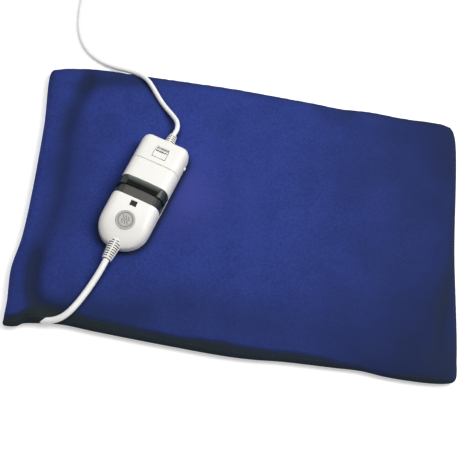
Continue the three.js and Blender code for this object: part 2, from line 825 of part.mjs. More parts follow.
function buildCase() {
  let base = slice(caseShell, [-reach, reach], [-cutOver, lowerEnd]);
  screwPlaces.forEach((place) => {
    base = base.add(lowerBoss(place).intersect(caseOuter));
  });
  screwPlaces.forEach((place) => {
    base = base.subtract(screwSpace(place));
  });
  base = base.subtract(padReliefHole).subtract(mainsReliefHole);
  const seam = slice(
    caseOuter.subtract(caseSkin(seamGrooveDepth)),
    [endSeam - seamGrooveWidth / 2, endSeam + seamGrooveWidth / 2], [upperStart, high],
  );
  [-1, 1].forEach((side) => {
    base = base.subtract(catchSpace(side, seatGap)).subtract(cheekNotch(side));
  });
  addPiece('base_shell', base, 'white', controller);

  let end = slice(caseShell, [endSeam + seatGap / 2, reach], [upperStart, high]);
  end = withUpperBosses(end, screwPlaces.slice(0, 2)).subtract(mainsReliefHole);
  [-1, 1].forEach((side) => {
    end = end.add(catchArm(side));
  });
  end = end.subtract(buttonHole()).subtract(markerPocket()).subtract(seam);
  addPiece('end_cover', end, 'white', controller);

  let middle = slice(caseShell, [bandTop + seatGap / 2, endSeam - seatGap / 2], [upperStart, high]);
  middle = withUpperBosses(middle, screwPlaces.slice(2, 4)).subtract(seam);
  addPiece('middle_cover', middle, 'white', controller);

  let nose = slice(caseShell, [-reach, bandBottom - seatGap / 2], [upperStart, high]);
  nose = withUpperBosses(nose, screwPlaces.slice(4)).subtract(padReliefHole);
  nose = nose.subtract(windowHole()).subtract(emblemSpace());
  addPiece('lower_cover', nose, 'white', controller);

  const screw = screwShape();
  screwPlaces.forEach(([x, y], i) => {
    addPiece(`case_screw_${i + 1}`, screw.clone(), 'steel', controller).position.set(x, y, headRecess);
  });
  addPiece('pad_relief', strainRelief({
    radius: padReliefRadius, tipRadius: padReliefTipRadius, tip: padReliefTip, plate: padReliefPlate,
    taperStart: padReliefTaperStart, rows: padReliefRows,
  }), 'cord', controller);
  addPiece('mains_relief', strainRelief({
    radius: mainsReliefRadius, tipRadius: mainsReliefTipRadius, tip: mainsReliefTip, plate: mainsReliefPlate,
    taperStart: mainsReliefTaperStart, rows: mainsReliefRows,
  }), 'cord', controller);
}

function screwShape() {
  const profile = [
    [0, 0], [screwHeadRadius, 0], [screwHeadRadius, screwHeadHeight / 2], [screwRadius, screwHeadHeight],
    [screwRadius, screwHeadHeight + screwLength - screwRadius], [0, screwHeadHeight + screwLength],
  ].map(([r, y]) => new THREE.Vector2(r, y));
  const geometry = new THREE.LatheGeometry(profile, 10);
  geometry.rotateX(quarterTurn);
  return welded(geometry);
}

// Heat slider: a dark saddle with a thumb ridge, which rides on the sunken band and grips the carriage inside

const sliderTravel = levelPitch * levelSteps;
const sliderTop = bandTop - seatGap / 2 - runGap;
const sliderBottom = bandBottom + seatGap / 2 + runGap + sliderTravel;
const sliderMiddle = (sliderTop + sliderBottom) / 2;
const bandInset = bandSink + bandWall;
const carriageInset = bandInset + runGap;
const tabBottom = skirtBottom + seatGap;
const tabOuter = caseHalfWidth - bandSink / 2;
const tabInner = tabOuter - tabReach;
const boardFace = boardHeight + boardThickness;
const bandRange = [bandBottom + seatGap / 2, bandTop - seatGap / 2];

// The band's cheeks fill a notch in each side wall of the base, below the slider's skirt
function cheekNotch(side) {
  const x = [side * (caseHalfWidth - bandInset - seatGap), side * wide];
  return block(
    [Math.min(...x), Math.max(...x)],
    [bandBottom - seatGap / 2, bandTop + seatGap / 2],
    [bandNotchBottom, upperStart],
  );
}

function bandCheeks() {
  const wall = caseSkin(seatGap).subtract(caseSkin(bandInset));
  return slice(wall, bandRange, [bandNotchBottom + seatGap, skirtBottom - runGap]);
}

// The plate let into the band's top, which the slider leaves bare as it moves away
function bandPlate(outerInset, clearance) {
  const half = bandPlateWidth / 2 + clearance;
  const margin = bandPlateMargin - clearance;
  const room = block([-half, half], [bandRange[0] + margin, bandRange[1] - margin], [partingHeight, high]);
  return room.intersect(caseSkin(outerInset)).subtract(caseSkin(bandSink + bandPlateThickness + clearance));
}

function tabSpace(side, clearance, travel) {
  const x = [side * (tabInner - clearance), side * (tabOuter + clearance)];
  return block(
    [Math.min(...x), Math.max(...x)],
    [sliderMiddle - tabLength / 2 - clearance - travel, sliderMiddle + tabLength / 2 + clearance],
    [tabBottom - clearance, tabBottom + tabHeight + clearance],
  );
}

function ridge() {
  const backY = sliderTop - seatGap;
  const frontY = backY - ridgeLength;
  const footZ = caseHeight - bandSink / 2;
  const peakZ = caseHeight + crownRise + ridgeHeight;
  const shape = new THREE.Shape();
  shape.moveTo(frontY - ridgeLength / 2, footZ);
  shape.lineTo(backY, footZ);
  shape.quadraticCurveTo(backY, peakZ, backY - ridgeLength / 2, peakZ);
  shape.quadraticCurveTo(frontY, peakZ, frontY - ridgeLength / 2, footZ);
  const geometry = extruded(shape, ridgeWidth);
  geometry.translate(0, 0, -ridgeWidth / 2);
  geometry.rotateY(quarterTurn);
  geometry.rotateX(quarterTurn);
  return toSolid(geometry).intersect(caseSkin(-ridgeHeight));
}

function buildSlider() {
  let track = slice(caseSkin(bandSink).subtract(caseSkin(bandInset)), bandRange, [upperStart, high]);
  track = track.add(bandCheeks()).subtract(bandPlate(0, seatGap));
  const saddle = caseOuter.subtract(caseSkin(bandSink - runGap));
  let slider = slice(saddle, [sliderBottom, sliderTop], [skirtBottom, high]);
  const dish = new THREE.CylinderGeometry(thumbDishRadius, thumbDishRadius, 2 * wide, 32);
  dish.rotateZ(quarterTurn);
  dish.translate(0, sliderBottom + ridgeLength, caseHeight + crownRise + thumbDishRadius - thumbDishDepth);
  slider = slider.subtract(toSolid(dish)).add(ridge());
  let carriage = caseSkin(carriageInset).subtract(caseSkin(carriageInset + carriageWall));
  carriage = slice(carriage, [sliderBottom, sliderTop], [tabBottom, high]);
  [-1, 1].forEach((side) => {
    track = track.subtract(tabSpace(side, runGap, sliderTravel));
    slider = slider.add(tabSpace(side, 0, 0));
    carriage = carriage.subtract(tabSpace(side, seatGap, 0));
  });
  const ceiling = caseHeight - carriageInset;
  const postRange = [sliderMiddle - postLength / 2, sliderMiddle + postLength / 2];
  const postBottom = boardFace + rackHeight;
  const post = block([-postWidth / 2, postWidth / 2], postRange, [postBottom, ceiling - carriageWall / 2]);
  addPiece('slider_track', track, 'dark', controller);
  addPiece('track_plate', bandPlate(bandSink, 0), 'smoke', controller);
  addPiece('heat_slider', slider, 'dark', controller);
  addPiece('contact_carriage', carriage.add(post), 'grey', controller);
  addPiece('contact_wiper', wiper(postBottom), 'brass', controller);
  addPiece('level_strip', levelStrip(ceiling - carriageWall), 'black', controller);
  addPiece('detent_rack', detentRack(), 'white', controller);
  addPiece('detent_spring', detentSpring(postBottom), 'steel', controller);
}

// Wiper: a bowed brass leaf under the post, pressed towards the board
function wiper(postBottom) {
  const foot = boardFace + seatGap;
  const bow = postBottom - seatGap - wiperThickness;
  const shape = new THREE.Shape();
  shape.moveTo(-wiperLength / 2, foot);
  shape.quadraticCurveTo(-wiperLength / 4, bow, 0, bow);
  shape.quadraticCurveTo(wiperLength / 4, bow, wiperLength / 2, foot);
  shape.lineTo(wiperLength / 2, foot + wiperThickness);
  shape.quadraticCurveTo(wiperLength / 4, bow + wiperThickness, 0, bow + wiperThickness);
  shape.quadraticCurveTo(-wiperLength / 4, bow + wiperThickness, -wiperLength / 2, foot + wiperThickness);
  const geometry = extruded(shape, postLength);
  geometry.rotateX(quarterTurn);
  geometry.translate(0, sliderMiddle + postLength / 2, 0);
  return toSolid(geometry);
}

// Level strip: it slides under the window and shows one mark for each heat level
function levelStrip(ceiling) {
  const far = windowCentre - windowLength / 2 - runGap;
  const near = sliderMiddle - postLength / 2 - seatGap;
  return block(
    [-stripWidth / 2, stripWidth / 2], [far, near], [ceiling - seatGap - stripThickness, ceiling - seatGap],
  );
}

// Detent: a notched rack on the board and a bumped leaf on the post
const rackSide = postWidth / 2 + detentThickness + 3 * seatGap + notchDepth;

function detentRack() {
  const low = sliderMiddle - sliderTravel - levelPitch;
  const highY = sliderMiddle + levelPitch;
  const foot = boardFace + seatGap;
  let rack = block([rackSide, rackSide + rackWidth], [low, highY], [foot, foot + rackHeight]);
  for (let step = 0; step <= levelSteps; step += 1) {
    const notch = new THREE.CylinderGeometry(notchDepth, notchDepth, rackHeight + 2 * cutOver, 8);
    notch.rotateX(quarterTurn);
    notch.translate(rackSide, sliderMiddle - step * levelPitch, boardFace + rackHeight / 2);
    rack = rack.subtract(toSolid(notch));
  }
  return rack;
}

function detentSpring(postBottom) {
  const inner = postWidth / 2 + seatGap;
  const outer = inner + detentThickness;
  const shape = new THREE.Shape();
  const [low, highY] = [sliderMiddle - postLength / 2, sliderMiddle + postLength / 2];
  shape.moveTo(inner, low);
  shape.lineTo(outer, low);
  shape.lineTo(outer, sliderMiddle - notchDepth);
  shape.quadraticCurveTo(outer + notchDepth * 2, sliderMiddle, outer, sliderMiddle + notchDepth);
  shape.lineTo(outer, highY);
  shape.lineTo(inner, highY);
  const geometry = extruded(shape, detentHeight + rackHeight / 2, 3);
  geometry.translate(0, 0, postBottom - rackHeight / 2);
  return toSolid(geometry);
}

// Window, emblem disc, button and marker on the top of the case

function windowHole() {
  return block(
    [-windowWidth / 2, windowWidth / 2],
    [windowCentre - windowLength / 2, windowCentre + windowLength / 2],
    [caseHeight - caseWall - cutOver, high],
  );
}

function windowLens() {
  const face = caseHeight + crownRise - seatGap;
  return block(
    [-windowWidth / 2 + seatGap, windowWidth / 2 - seatGap],
    [windowCentre - windowLength / 2 + seatGap, windowCentre + windowLength / 2 - seatGap],
    [face - lensThickness, face],
  );
}

const emblemSlope = Math.atan2(caseTop(emblemRadius) - caseTop(-emblemRadius), 2 * emblemRadius);
const emblemBed = (caseTop(emblemRadius) + caseTop(-emblemRadius)) / 2 + crownRise - emblemThickness;

function emblemDisc(radius, thickness, rim) {
  const profile = [[0, 0], [radius, 0], [radius, thickness - rim], [radius - rim, thickness]];
  if (rim > 0) {
    const inner = radius - emblemRimWidth;
    profile.push([inner, thickness], [inner - rim, thickness - rim], [0, thickness - rim]);
  } else {
    profile.push([0, thickness]);
  }
  const geometry = new THREE.LatheGeometry(profile.map(([r, y]) => new THREE.Vector2(r, y)), 24);
  geometry.rotateX(quarterTurn);
  geometry.rotateX(emblemSlope);
  geometry.translate(0, 0, emblemBed);
  return toSolid(geometry);
}

function emblemSpace() {
  const cut = emblemDisc(emblemRadius + seatGap, cutOver, 0);
  return cut.translate(0, 0, -seatGap);
}

function plate(width, length, centreY, zRange, clearance) {
  return block(
    [-width / 2 - clearance, width / 2 + clearance],
    [centreY - length / 2 - clearance, centreY + length / 2 + clearance],
    zRange,
  );
}

const markerCentre = buttonCentre + buttonLength / 2 + markerGap + markerLength / 2;
const markerBed = caseHeight - markerThickness;
const buttonTop = caseHeight + crownRise + buttonRise;
const buttonFoot = buttonTop - buttonDepth;
const flangeTop = caseHeight - caseWall - runGap;
const switchTop = boardFace + seatGap + switchHeight;

function buttonHole() {
  return plate(buttonWidth, buttonLength, buttonCentre, [caseHeight - caseWall - cutOver, high], buttonGap);
}

function markerPocket() {
  return plate(markerWidth, markerLength, markerCentre, [markerBed - seatGap, high], seatGap);
}

function powerButton() {
  const cap = roundedBlock(buttonWidth, buttonLength, buttonDepth - buttonEdge, buttonEdge);
  cap.translate(0, buttonCentre, buttonFoot);
  const shape = new THREE.Shape();
  const x = buttonWidth / 2;
  shape.moveTo(-x, -buttonEdge);
  shape.lineTo(x, -buttonEdge);
  shape.quadraticCurveTo(x, 0, x - buttonEdge, 0);
  shape.quadraticCurveTo(0, -buttonEdge, buttonEdge - x, 0);
  shape.quadraticCurveTo(-x, 0, -x, -buttonEdge);
  const crown = extruded(shape, buttonLength, 5);
  crown.rotateX(quarterTurn);
  crown.translate(0, buttonCentre + buttonLength / 2, buttonTop);
  const outline = toSolid(roundedBlock(buttonWidth, buttonLength, buttonDepth + cutOver, buttonEdge));
  const trimmed = toSolid(crown).intersect(outline.translate(0, buttonCentre, buttonFoot));
  const flange = plate(
    buttonWidth, buttonLength, buttonCentre, [flangeTop - buttonFlangeHeight, flangeTop], buttonFlange,
  );
  const stem = postAt(0, buttonCentre, [switchTop - buttonTravel, flangeTop], buttonStemRadius, 12);
  return toSolid(cap).add(trimmed).add(flange).add(stem);
}

function buttonSpring() {
  const low = switchTop + seatGap + springWire / 2;
  const top = flangeTop - buttonFlangeHeight - seatGap - springWire / 2;
  const steps = springTurns * springStepsPerTurn;
  const points = Array.from({ length: steps + 1 }, (_, k) => {
    const angle = (fullTurn * springTurns * k) / steps;
    const [x, y] = [springRadius * Math.cos(angle), buttonCentre + springRadius * Math.sin(angle)];
    return new THREE.Vector3(x, y, low + ((top - low) * k) / steps);
  });
  return tubeThrough(points, springWire / 2, 5);
}

function pushSwitch() {
  const body = plate(switchWidth, switchLength, buttonCentre, [boardFace + seatGap, switchTop], 0);
  const boreFoot = switchTop - 2 * buttonTravel - 2 * seatGap;
  const bore = postAt(0, buttonCentre, [boreFoot, switchTop + cutOver], buttonStemRadius + seatGap);
  return body.subtract(bore);
}

function buildControls() {
  addPiece('window_lens', windowLens(), 'lens', controller);
  const disc = emblemDisc(emblemRadius, emblemThickness + emblemRimRise, emblemRimRise);
  addPiece('emblem_disc', disc, 'grey', controller);
  addPiece('power_button', powerButton(), 'white', controller);
  addPiece('button_spring', buttonSpring(), 'steel', controller);
  addPiece('push_switch', pushSwitch(), 'black', controller);
  const markerTop = markerBed + markerThickness + crownRise;
  const marker = plate(markerWidth, markerLength, markerCentre, [markerBed, markerTop], 0);
  addPiece('marker_plate', marker, 'dark', controller);
}

// Board and what stands on it

function circuitBoard() {
  const shape = new THREE.Shape(caseOutline(boardInset).map(([x, y]) => new THREE.Vector2(x, y)));
  const sheet = extruded(shape, boardThickness);
  sheet.translate(0, 0, boardHeight);
  let board = slice(toSolid(sheet), [boardBottom, boardTop], [0, high]);
  screwPlaces.forEach(([x, y]) => {
    board = board.subtract(postAt(x, y, [0, high], bossRadius + seatGap, 12));
  });
  return board;
}

function fuse() {
  const cap = fuseLength / 4;
  const glass = fuseRadius - seatGap;
  const profile = [
    [0, 0], [fuseRadius, 0], [fuseRadius, cap], [glass, cap], [glass, fuseLength - cap],
    [fuseRadius, fuseLength - cap], [fuseRadius, fuseLength], [0, fuseLength],
  ].map(([r, y]) => new THREE.Vector2(r, y));
  const geometry = new THREE.LatheGeometry(profile, 12);
  geometry.translate(fuseCentreX, fuseCentreY - fuseLength / 2, boardFace + fuseAxisRise);
  return toSolid(geometry);
}

function fuseClip() {
  const inner = fuseRadius + seatGap;
  const outer = inner + clipThickness;
  const foot = seatGap - fuseAxisRise;
  const shape = new THREE.Shape();
  shape.moveTo(-outer, foot);
  shape.lineTo(outer, foot);
  shape.lineTo(outer, fuseRadius / 2);
  shape.lineTo(inner, fuseRadius / 2);
  shape.absarc(0, 0, inner, 0, -Math.PI, true);
  shape.lineTo(-inner, fuseRadius / 2);
  shape.lineTo(-outer, fuseRadius / 2);
  const geometry = extruded(shape, clipLength, 6);
  geometry.rotateX(quarterTurn);
  geometry.translate(0, clipLength / 2, 0);
  return toSolid(geometry);
}

function terminal(centreY) {
  const zRange = [boardFace + seatGap, boardFace + terminalHeight];
  let body = plate(terminalWidth, terminalLength, centreY, zRange, 0);
  [-1, 1].forEach((side) => {
    const x = (side * coreSpacing) / 2;
    body = body.subtract(postAt(x, centreY, [boardFace + terminalHeight / 2, high], terminalBore / 2, 8));
  });
  return body;
}

function coreWire(side, fromY, toY) {
  const x = (side * coreSpacing) / 2;
  const height = partingHeight + coreDiameter / 2;
  const points = [fromY, (fromY + toY) / 2, toY].map((y) => new THREE.Vector3(x, y, height));
  return tubeThrough(points, coreDiameter / 2, 6);
}

function rectifier() {
  const top = caseHeight - caseWall - rectifierRoom;
  const shoulder = top - rectifierTabHeight;
  const body = block(
    [rectifierX - rectifierWidth / 2, rectifierX + rectifierWidth / 2],
    [rectifierY - rectifierThickness / 2, rectifierY + rectifierThickness / 2],
    [boardFace + seatGap, shoulder],
  );
  const tab = block(
    [rectifierX - rectifierWidth / 2, rectifierX + rectifierWidth / 2],
    [rectifierY + rectifierThickness / 4, rectifierY + rectifierThickness / 2],
    [(boardFace + shoulder) / 2, top],
  );
  const hole = new THREE.CylinderGeometry(screwRadius, screwRadius, 2 * rectifierThickness, 10);
  hole.translate(rectifierX, rectifierY, (shoulder + top) / 2);
  return body.add(tab).subtract(toSolid(hole));
}

function buildBoard() {
  addPiece('circuit_board', circuitBoard(), 'board', controller);
  addPiece('fuse', fuse(), 'steel', controller);
  const clip = toGeometry(fuseClip());
  [-1, 1].forEach((side, i) => {
    const y = fuseCentreY + side * (fuseLength / 2 - fuseLength / 8);
    const place = addPiece(`fuse_clip_${i + 1}`, clip.clone(), 'brass', controller);
    place.position.set(fuseCentreX, y, boardFace + fuseAxisRise);
  });
  addPiece('rectifier', rectifier(), 'black', controller);
  addPiece('mains_terminal', terminal(mainsTerminalY), 'grey', controller);
  addPiece('pad_terminal', terminal(padTerminalY), 'grey', controller);
  [-1, 1].forEach((side, i) => {
    const half = terminalLength / 2 + seatGap;
    const mainsWire = coreWire(side, mainsTerminalY + half, mainsReliefPlate - seatGap);
    addPiece(`mains_core_${i + 1}`, mainsWire, 'wire', controller);
    const padWire = coreWire(side, padTerminalY - half, padReliefPlate + seatGap);
    addPiece(`pad_core_${i + 1}`, padWire, 'wire', controller);
  });
}

// Mains lead: over the pad's edge and away, a storage coil with its tie, and a short tail to the plug

const coilOuterRadius = coilInnerRadius + coilPitch * coilTurnsIn;
const coilCentreX = leadColumnX + coilOuterRadius;
const coilLow = tieThickness + seatGap + mainsDiameter / 2;
const coilHigh = coilLow + coilPitch;
const mainsLeadRoute = [
  beyondRelief(mainsReliefTip, seatGap), beyondRelief(mainsReliefTip, 2 * mainsDiameter),
  ...[
    [142.3, 250.3, 20.9], [136.5, 259.1, 18.8], [129.4, 267.3, 17.3], [122.9, 275.5, 16.5],
  ].map(fromCorner),
  ...[
    [117.1, -26.1, 16.3], [111.6, -17.8, 16.2], [105.6, -10.2, 15.7], [98.4, -3.9, 13.5], [90, 0.8, 10.3],
    [80.8, 4.4, 7.1], [71.3, 7.1, 4.6], [61.8, 10.2, 3], [52.6, 13.6, 2.6], [44, 18.3, 2.6],
    [36.5, 24.4, 2.6], [30.3, 32, 2.6], [25.7, 40.6, 2.6], [22.6, 49.9, 2.6], [20.6, 59.6, 2.6],
    [19.6, 69.4, 2.6], [19.1, 79.2, 2.6], [19, 98.9, 2.6], [19, 118.5, 2.6], [19, 133, 3.2],
  ].map(fromFarSide),
  [leadColumnX, coilCentreY - 2 * mainsDiameter - seatGap, coilLow],
  [leadColumnX, coilCentreY - mainsDiameter - seatGap, coilLow],
];

function coilPoints() {
  const turns = coilTurnsIn + 1 / 2 + coilTurnsOut;
  const steps = Math.round(turns * coilStepsPerTurn);
  const points = [new THREE.Vector3(leadColumnX, coilCentreY - mainsDiameter, coilLow)];
  for (let k = 0; k <= steps; k += 1) {
    const turn = (turns * k) / steps;
    const climb = THREE.MathUtils.clamp(turn - coilTurnsIn, 0, 1 / 2);
    let radius = coilOuterRadius - coilPitch * Math.min(turn, coilTurnsIn);
    radius -= coilPitch * (climb - 2 * climb ** 2);
    radius += coilPitch * Math.max(turn - coilTurnsIn - 1 / 2, 0);
    const angle = Math.PI - fullTurn * turn;
    const height = coilLow + ((coilHigh - coilLow) * (1 - Math.cos(fullTurn * climb))) / 2;
    points.push(new THREE.Vector3(
      coilCentreX + radius * Math.cos(angle), coilCentreY + radius * Math.sin(angle), height,
    ));
  }
  const last = points.at(-1);
  points.push(new THREE.Vector3(last.x + mainsDiameter, last.y, last.z));
  return points;
}

function leastSelfGap(points, diameter) {
  let least = Infinity;
  points.forEach((point, i) => {
    for (let k = i + coilStepsPerTurn / 2; k < points.length; k += 1) {
      least = Math.min(least, point.distanceTo(points[k]) - diameter);
    }
  });
  return least;
}

function coilTie() {
  const atSide = coilOuterRadius - coilPitch / 2;
  const inner = [coilInnerRadius - mainsDiameter / 2 - seatGap, atSide + mainsDiameter / 2 + seatGap];
  const height = [tieThickness, coilHigh + mainsDiameter / 2 + seatGap];
  const xRange = [coilCentreX + inner[0], coilCentreX + inner[1]];
  const yRange = [coilCentreY - tieWidth / 2, coilCentreY + tieWidth / 2];
  const band = block(
    [xRange[0] - tieThickness, xRange[1] + tieThickness], yRange, [0, height[1] + tieThickness],
  );
  return band.subtract(block(xRange, [yRange[0] - cutOver, yRange[1] + cutOver], height));
}

// Plug: a flat moulded body that narrows to the cord, with two round pins
const plugStationShares = [
  [0, 1, 1], [0.02, 1.04, 1.05], [0.3, 1.04, 1.05], [0.5, 0.86, 1], [0.68, 0.58, 0.86], [0.8, 0.4, 0.74],
];
const plugSides = 16;
const plugSquareness = 2 / 3.2;

function plugBody() {
  const sign = (value) => (Math.abs(value) < Number.EPSILON ? 0 : Math.sign(value));
  const ringAt = (y, halfWidth, halfHeight, power) => Array.from({ length: plugSides }, (_, k) => {
    const angle = (fullTurn * k) / plugSides;
    const across = Math.cos(angle);
    const up = Math.sin(angle);
    return [
      halfWidth * sign(across) * Math.abs(across) ** power, y, halfHeight * sign(up) * Math.abs(up) ** power,
    ];
  });
  const widest = Math.max(...plugStationShares.map(([, , share]) => share));
  const rings = plugStationShares.map(([along, across, up]) => ringAt(
    -along * plugLength, (plugHalfWidth * across) / widest, (plugHalfHeight * up) / widest, plugSquareness,
  ));
  rings.push(ringAt(-0.86 * plugLength, plugTailRadius * 1.1, plugTailRadius * 1.1, 1));
  rings.push(ringAt(-plugLength, plugTailRadius * 0.8, plugTailRadius * 0.8, 1));
  let body = toSolid(skin(rings, true));
  [-1, 1].forEach((side) => {
    const bore = pinRadius + seatGap;
    const hole = new THREE.CylinderGeometry(bore, bore, 2 * pinSeat + 2 * seatGap, 12);
    hole.translate((side * pinSpacing) / 2, 0, 0);
    body = body.subtract(toSolid(hole));
  });
  return body;
}

function plugPin() {
  const profile = [
    [0, -pinSeat], [pinRadius, -pinSeat], [pinRadius, pinLength - pinRadius],
    [pinRadius * Math.SQRT1_2, pinLength - pinRadius * (1 - Math.SQRT1_2)], [0, pinLength],
  ].map(([r, y]) => new THREE.Vector2(r, y));
  return welded(new THREE.LatheGeometry(profile, 12));
}

function plugTail() {
  const axis = new THREE.Vector3(0, -1, 0).applyAxisAngle(new THREE.Vector3(0, 0, 1), plugTurn);
  const back = new THREE.Vector3(plugX, plugY, plugHalfHeight);
  return (distance) => back.clone().addScaledVector(axis, distance).toArray();
}

function buildCords() {
  addPiece('pad_lead', cordTube(padLeadRoute, padLeadDiameter, 10, 30), 'cord', cords);
  addPiece('mains_lead', cordTube(mainsLeadRoute, mainsDiameter, 8, 40), 'cord', cords);
  const points = coilPoints();
  console.log('Least gap of the coil to itself, mm:', leastSelfGap(points, mainsDiameter).toFixed(2));
  addPiece('mains_coil', tubeThrough(points, mainsDiameter / 2, coilSides), 'cord', cords);
  const last = points.at(-1);
  const tailEnd = plugTail();
  const tailRoute = [
    [last.x + seatGap, last.y, last.z], [last.x + seatGap + mainsDiameter, last.y, last.z],
    tailEnd(plugLength + seatGap + 2 * mainsDiameter), tailEnd(plugLength + seatGap + mainsDiameter),
    tailEnd(plugLength + seatGap),
  ];
  addPiece('mains_tail', cordTube(tailRoute, mainsDiameter, 8, 8), 'cord', cords);
  addPiece('coil_tie', coilTie(), 'black', cords);
  addPiece('plug_body', plugBody(), 'cord', plug);
  [-1, 1].forEach((side, i) => {
    addPiece(`plug_pin_${i + 1}`, plugPin(), 'steel', plug).position.set((side * pinSpacing) / 2, 0, 0);
  });
}

buildPad();
buildCase();
buildSlider();
buildControls();
buildBoard();
buildCords();

export default object;
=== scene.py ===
"""Looks of a heating pad with its hand controller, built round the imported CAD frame. Blender 4.5, metres."""
import math

import bmesh
import bpy
import numpy as np
from mathutils import Matrix, Vector, noise


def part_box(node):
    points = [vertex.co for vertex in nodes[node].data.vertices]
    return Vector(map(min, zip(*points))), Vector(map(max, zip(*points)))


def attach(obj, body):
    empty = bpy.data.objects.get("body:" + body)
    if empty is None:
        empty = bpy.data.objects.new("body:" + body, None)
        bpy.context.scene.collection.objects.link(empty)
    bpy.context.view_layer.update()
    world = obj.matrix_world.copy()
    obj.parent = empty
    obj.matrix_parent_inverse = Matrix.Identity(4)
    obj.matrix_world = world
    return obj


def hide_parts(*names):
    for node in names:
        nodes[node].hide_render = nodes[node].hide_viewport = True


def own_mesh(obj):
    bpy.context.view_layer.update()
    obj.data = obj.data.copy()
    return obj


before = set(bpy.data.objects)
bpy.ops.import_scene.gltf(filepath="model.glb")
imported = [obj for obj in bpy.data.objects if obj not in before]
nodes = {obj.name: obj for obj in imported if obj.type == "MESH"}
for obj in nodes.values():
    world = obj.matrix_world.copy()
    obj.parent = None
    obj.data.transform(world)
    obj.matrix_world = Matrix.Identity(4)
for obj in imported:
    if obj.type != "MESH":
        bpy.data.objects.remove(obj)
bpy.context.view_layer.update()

MM = 0.001
ROOT = "pad_and_case"
scene = bpy.context.scene


def put(name, data):
    """A new object, linked into the scene."""
    made = bpy.data.objects.new(name, data)
    scene.collection.objects.link(made)
    return made


# Camera, solved from the pad's corners in the photograph: degrees, millimetres, focal length in pixels
AZIMUTH, ELEVATION, ROLL = (math.radians(angle) for angle in (-9.2, 63.7, 15.9))
LOOK_AT, DISTANCE = Vector((-14.4, -12.2, 0)), 1144
FOCAL_PIXELS, PICTURE_PIXELS, SENSOR = 1098, 458, 36


def set_camera():
    """The view that the photograph was taken from, at its size."""
    back = Vector((math.sin(AZIMUTH) * math.cos(ELEVATION), -math.cos(AZIMUTH) * math.cos(ELEVATION),
        math.sin(ELEVATION)))
    level = Vector((math.cos(AZIMUTH), math.sin(AZIMUTH), 0))
    rise = back.cross(level)
    right = level * math.cos(ROLL) + rise * math.sin(ROLL)
    up = rise * math.cos(ROLL) - level * math.sin(ROLL)
    camera = put("camera", bpy.data.cameras.new("camera"))
    place = Matrix((right, up, back)).transposed().to_4x4()
    place.translation = LOOK_AT * MM + back * DISTANCE * MM
    camera.matrix_world = place
    camera.data.sensor_fit = "HORIZONTAL"
    camera.data.sensor_width = SENSOR
    camera.data.lens = FOCAL_PIXELS / PICTURE_PIXELS * SENSOR
    scene.camera = camera
    scene.render.resolution_x = scene.render.resolution_y = PICTURE_PIXELS
    scene.render.resolution_percentage = 100


set_camera()


# Helpers
def linear(code):
    """A linear colour from an sRGB hex code."""
    channels = [int(code[i:i + 2], 16) / 255 for i in (0, 2, 4)]
    return tuple(c / 12.92 if c <= 0.04045 else ((c + 0.055) / 1.055) ** 2.4 for c in channels) + (1.0,)


def shade(code, share):
    """A hex colour as linear, with its light cut to a share."""
    return tuple(c * share for c in linear(code)[:3]) + (1.0,)


def feed(tree, socket, value):
    """Give a socket a plain value, an output, or the first output in use of a node."""
    if isinstance(value, bpy.types.Node):
        value = next(out for out in value.outputs if out.enabled)
    if isinstance(value, bpy.types.NodeSocket):
        tree.links.new(value, socket)
    else:
        socket.default_value = value


def add(tree, kind, inputs=None, **settings):
    """Add one node: its settings, then its inputs, each a value, a node or a node's output."""
    made = tree.nodes.new(kind)
    for key, value in settings.items():
        setattr(made, key, value)
    for key, value in (inputs or {}).items():
        feed(tree, made.inputs[key], value)
    return made


# A Mix node's inputs go by number, because several of them share a name
FACTOR, LEVEL_A, LEVEL_B, COLOUR_A, COLOUR_B = 0, 2, 3, 6, 7
# Noise seldom leaves the middle of its range, so the maps read it over this span
NOISE_SPAN = {"From Min": 0.3, "From Max": 0.7}


def per_metre(size_mm):
    """The scale of a pattern whose marks are size_mm across, on places in metres."""
    return 1000.0 / size_mm


def finish(material, **values):
    """Give values, or what nodes make, to the shader's own sockets."""
    tree = material.node_tree
    for key, value in values.items():
        feed(tree, tree.nodes["Principled BSDF"].inputs[key.replace("_", " ")], value)
    return material


def fed_by(material, socket):
    """What a socket of the shader is fed by so far."""
    return material.node_tree.nodes["Principled BSDF"].inputs[socket].links[0].from_socket


def start_finish(name, **values):
    """A new material with its shader's even values, its tree, and the place on the piece."""
    material = bpy.data.materials.new(name)
    material.use_nodes = True
    tree = finish(material, **values).node_tree
    return material, tree, add(tree, "ShaderNodeTexCoord").outputs["Object"]


def mottled(tree, place, size_mm, dark, light, detail=3.0, rough=0.5):
    """A colour that wanders between two, in blots of about size_mm."""
    blots = add(tree, "ShaderNodeTexNoise", {"Vector": place, "Scale": per_metre(size_mm), "Detail": detail,
        "Roughness": rough})
    return add(tree, "ShaderNodeMix", {FACTOR: blots, COLOUR_A: dark, COLOUR_B: light}, data_type="RGBA")


def moulded(name, colour, rough, ior=1.54, skin_mm=0.5, skin_depth=0.006, coat=0.0):
    """Injection-moulded plastic: even colour with broad flow marks, and a fine skin that breaks the shine."""
    material, tree, place = start_finish(name, IOR=ior, Coat_Weight=coat, Coat_Roughness=0.12)
    tint = mottled(tree, place, 14, shade(colour, 0.97), linear(colour))
    rub = add(tree, "ShaderNodeTexNoise", {"Vector": place, "Scale": per_metre(6), "Detail": 3.0})
    dull = add(tree, "ShaderNodeMapRange", NOISE_SPAN | {"Value": rub, "To Min": rough * 0.93,
        "To Max": rough * 1.07})
    skin = add(tree, "ShaderNodeTexNoise", {"Vector": place, "Scale": per_metre(skin_mm), "Detail": 2.0})
    relief = add(tree, "ShaderNodeBump", {"Height": skin, "Distance": skin_depth * MM})
    return finish(material, Base_Color=tint, Roughness=dull, Normal=relief)


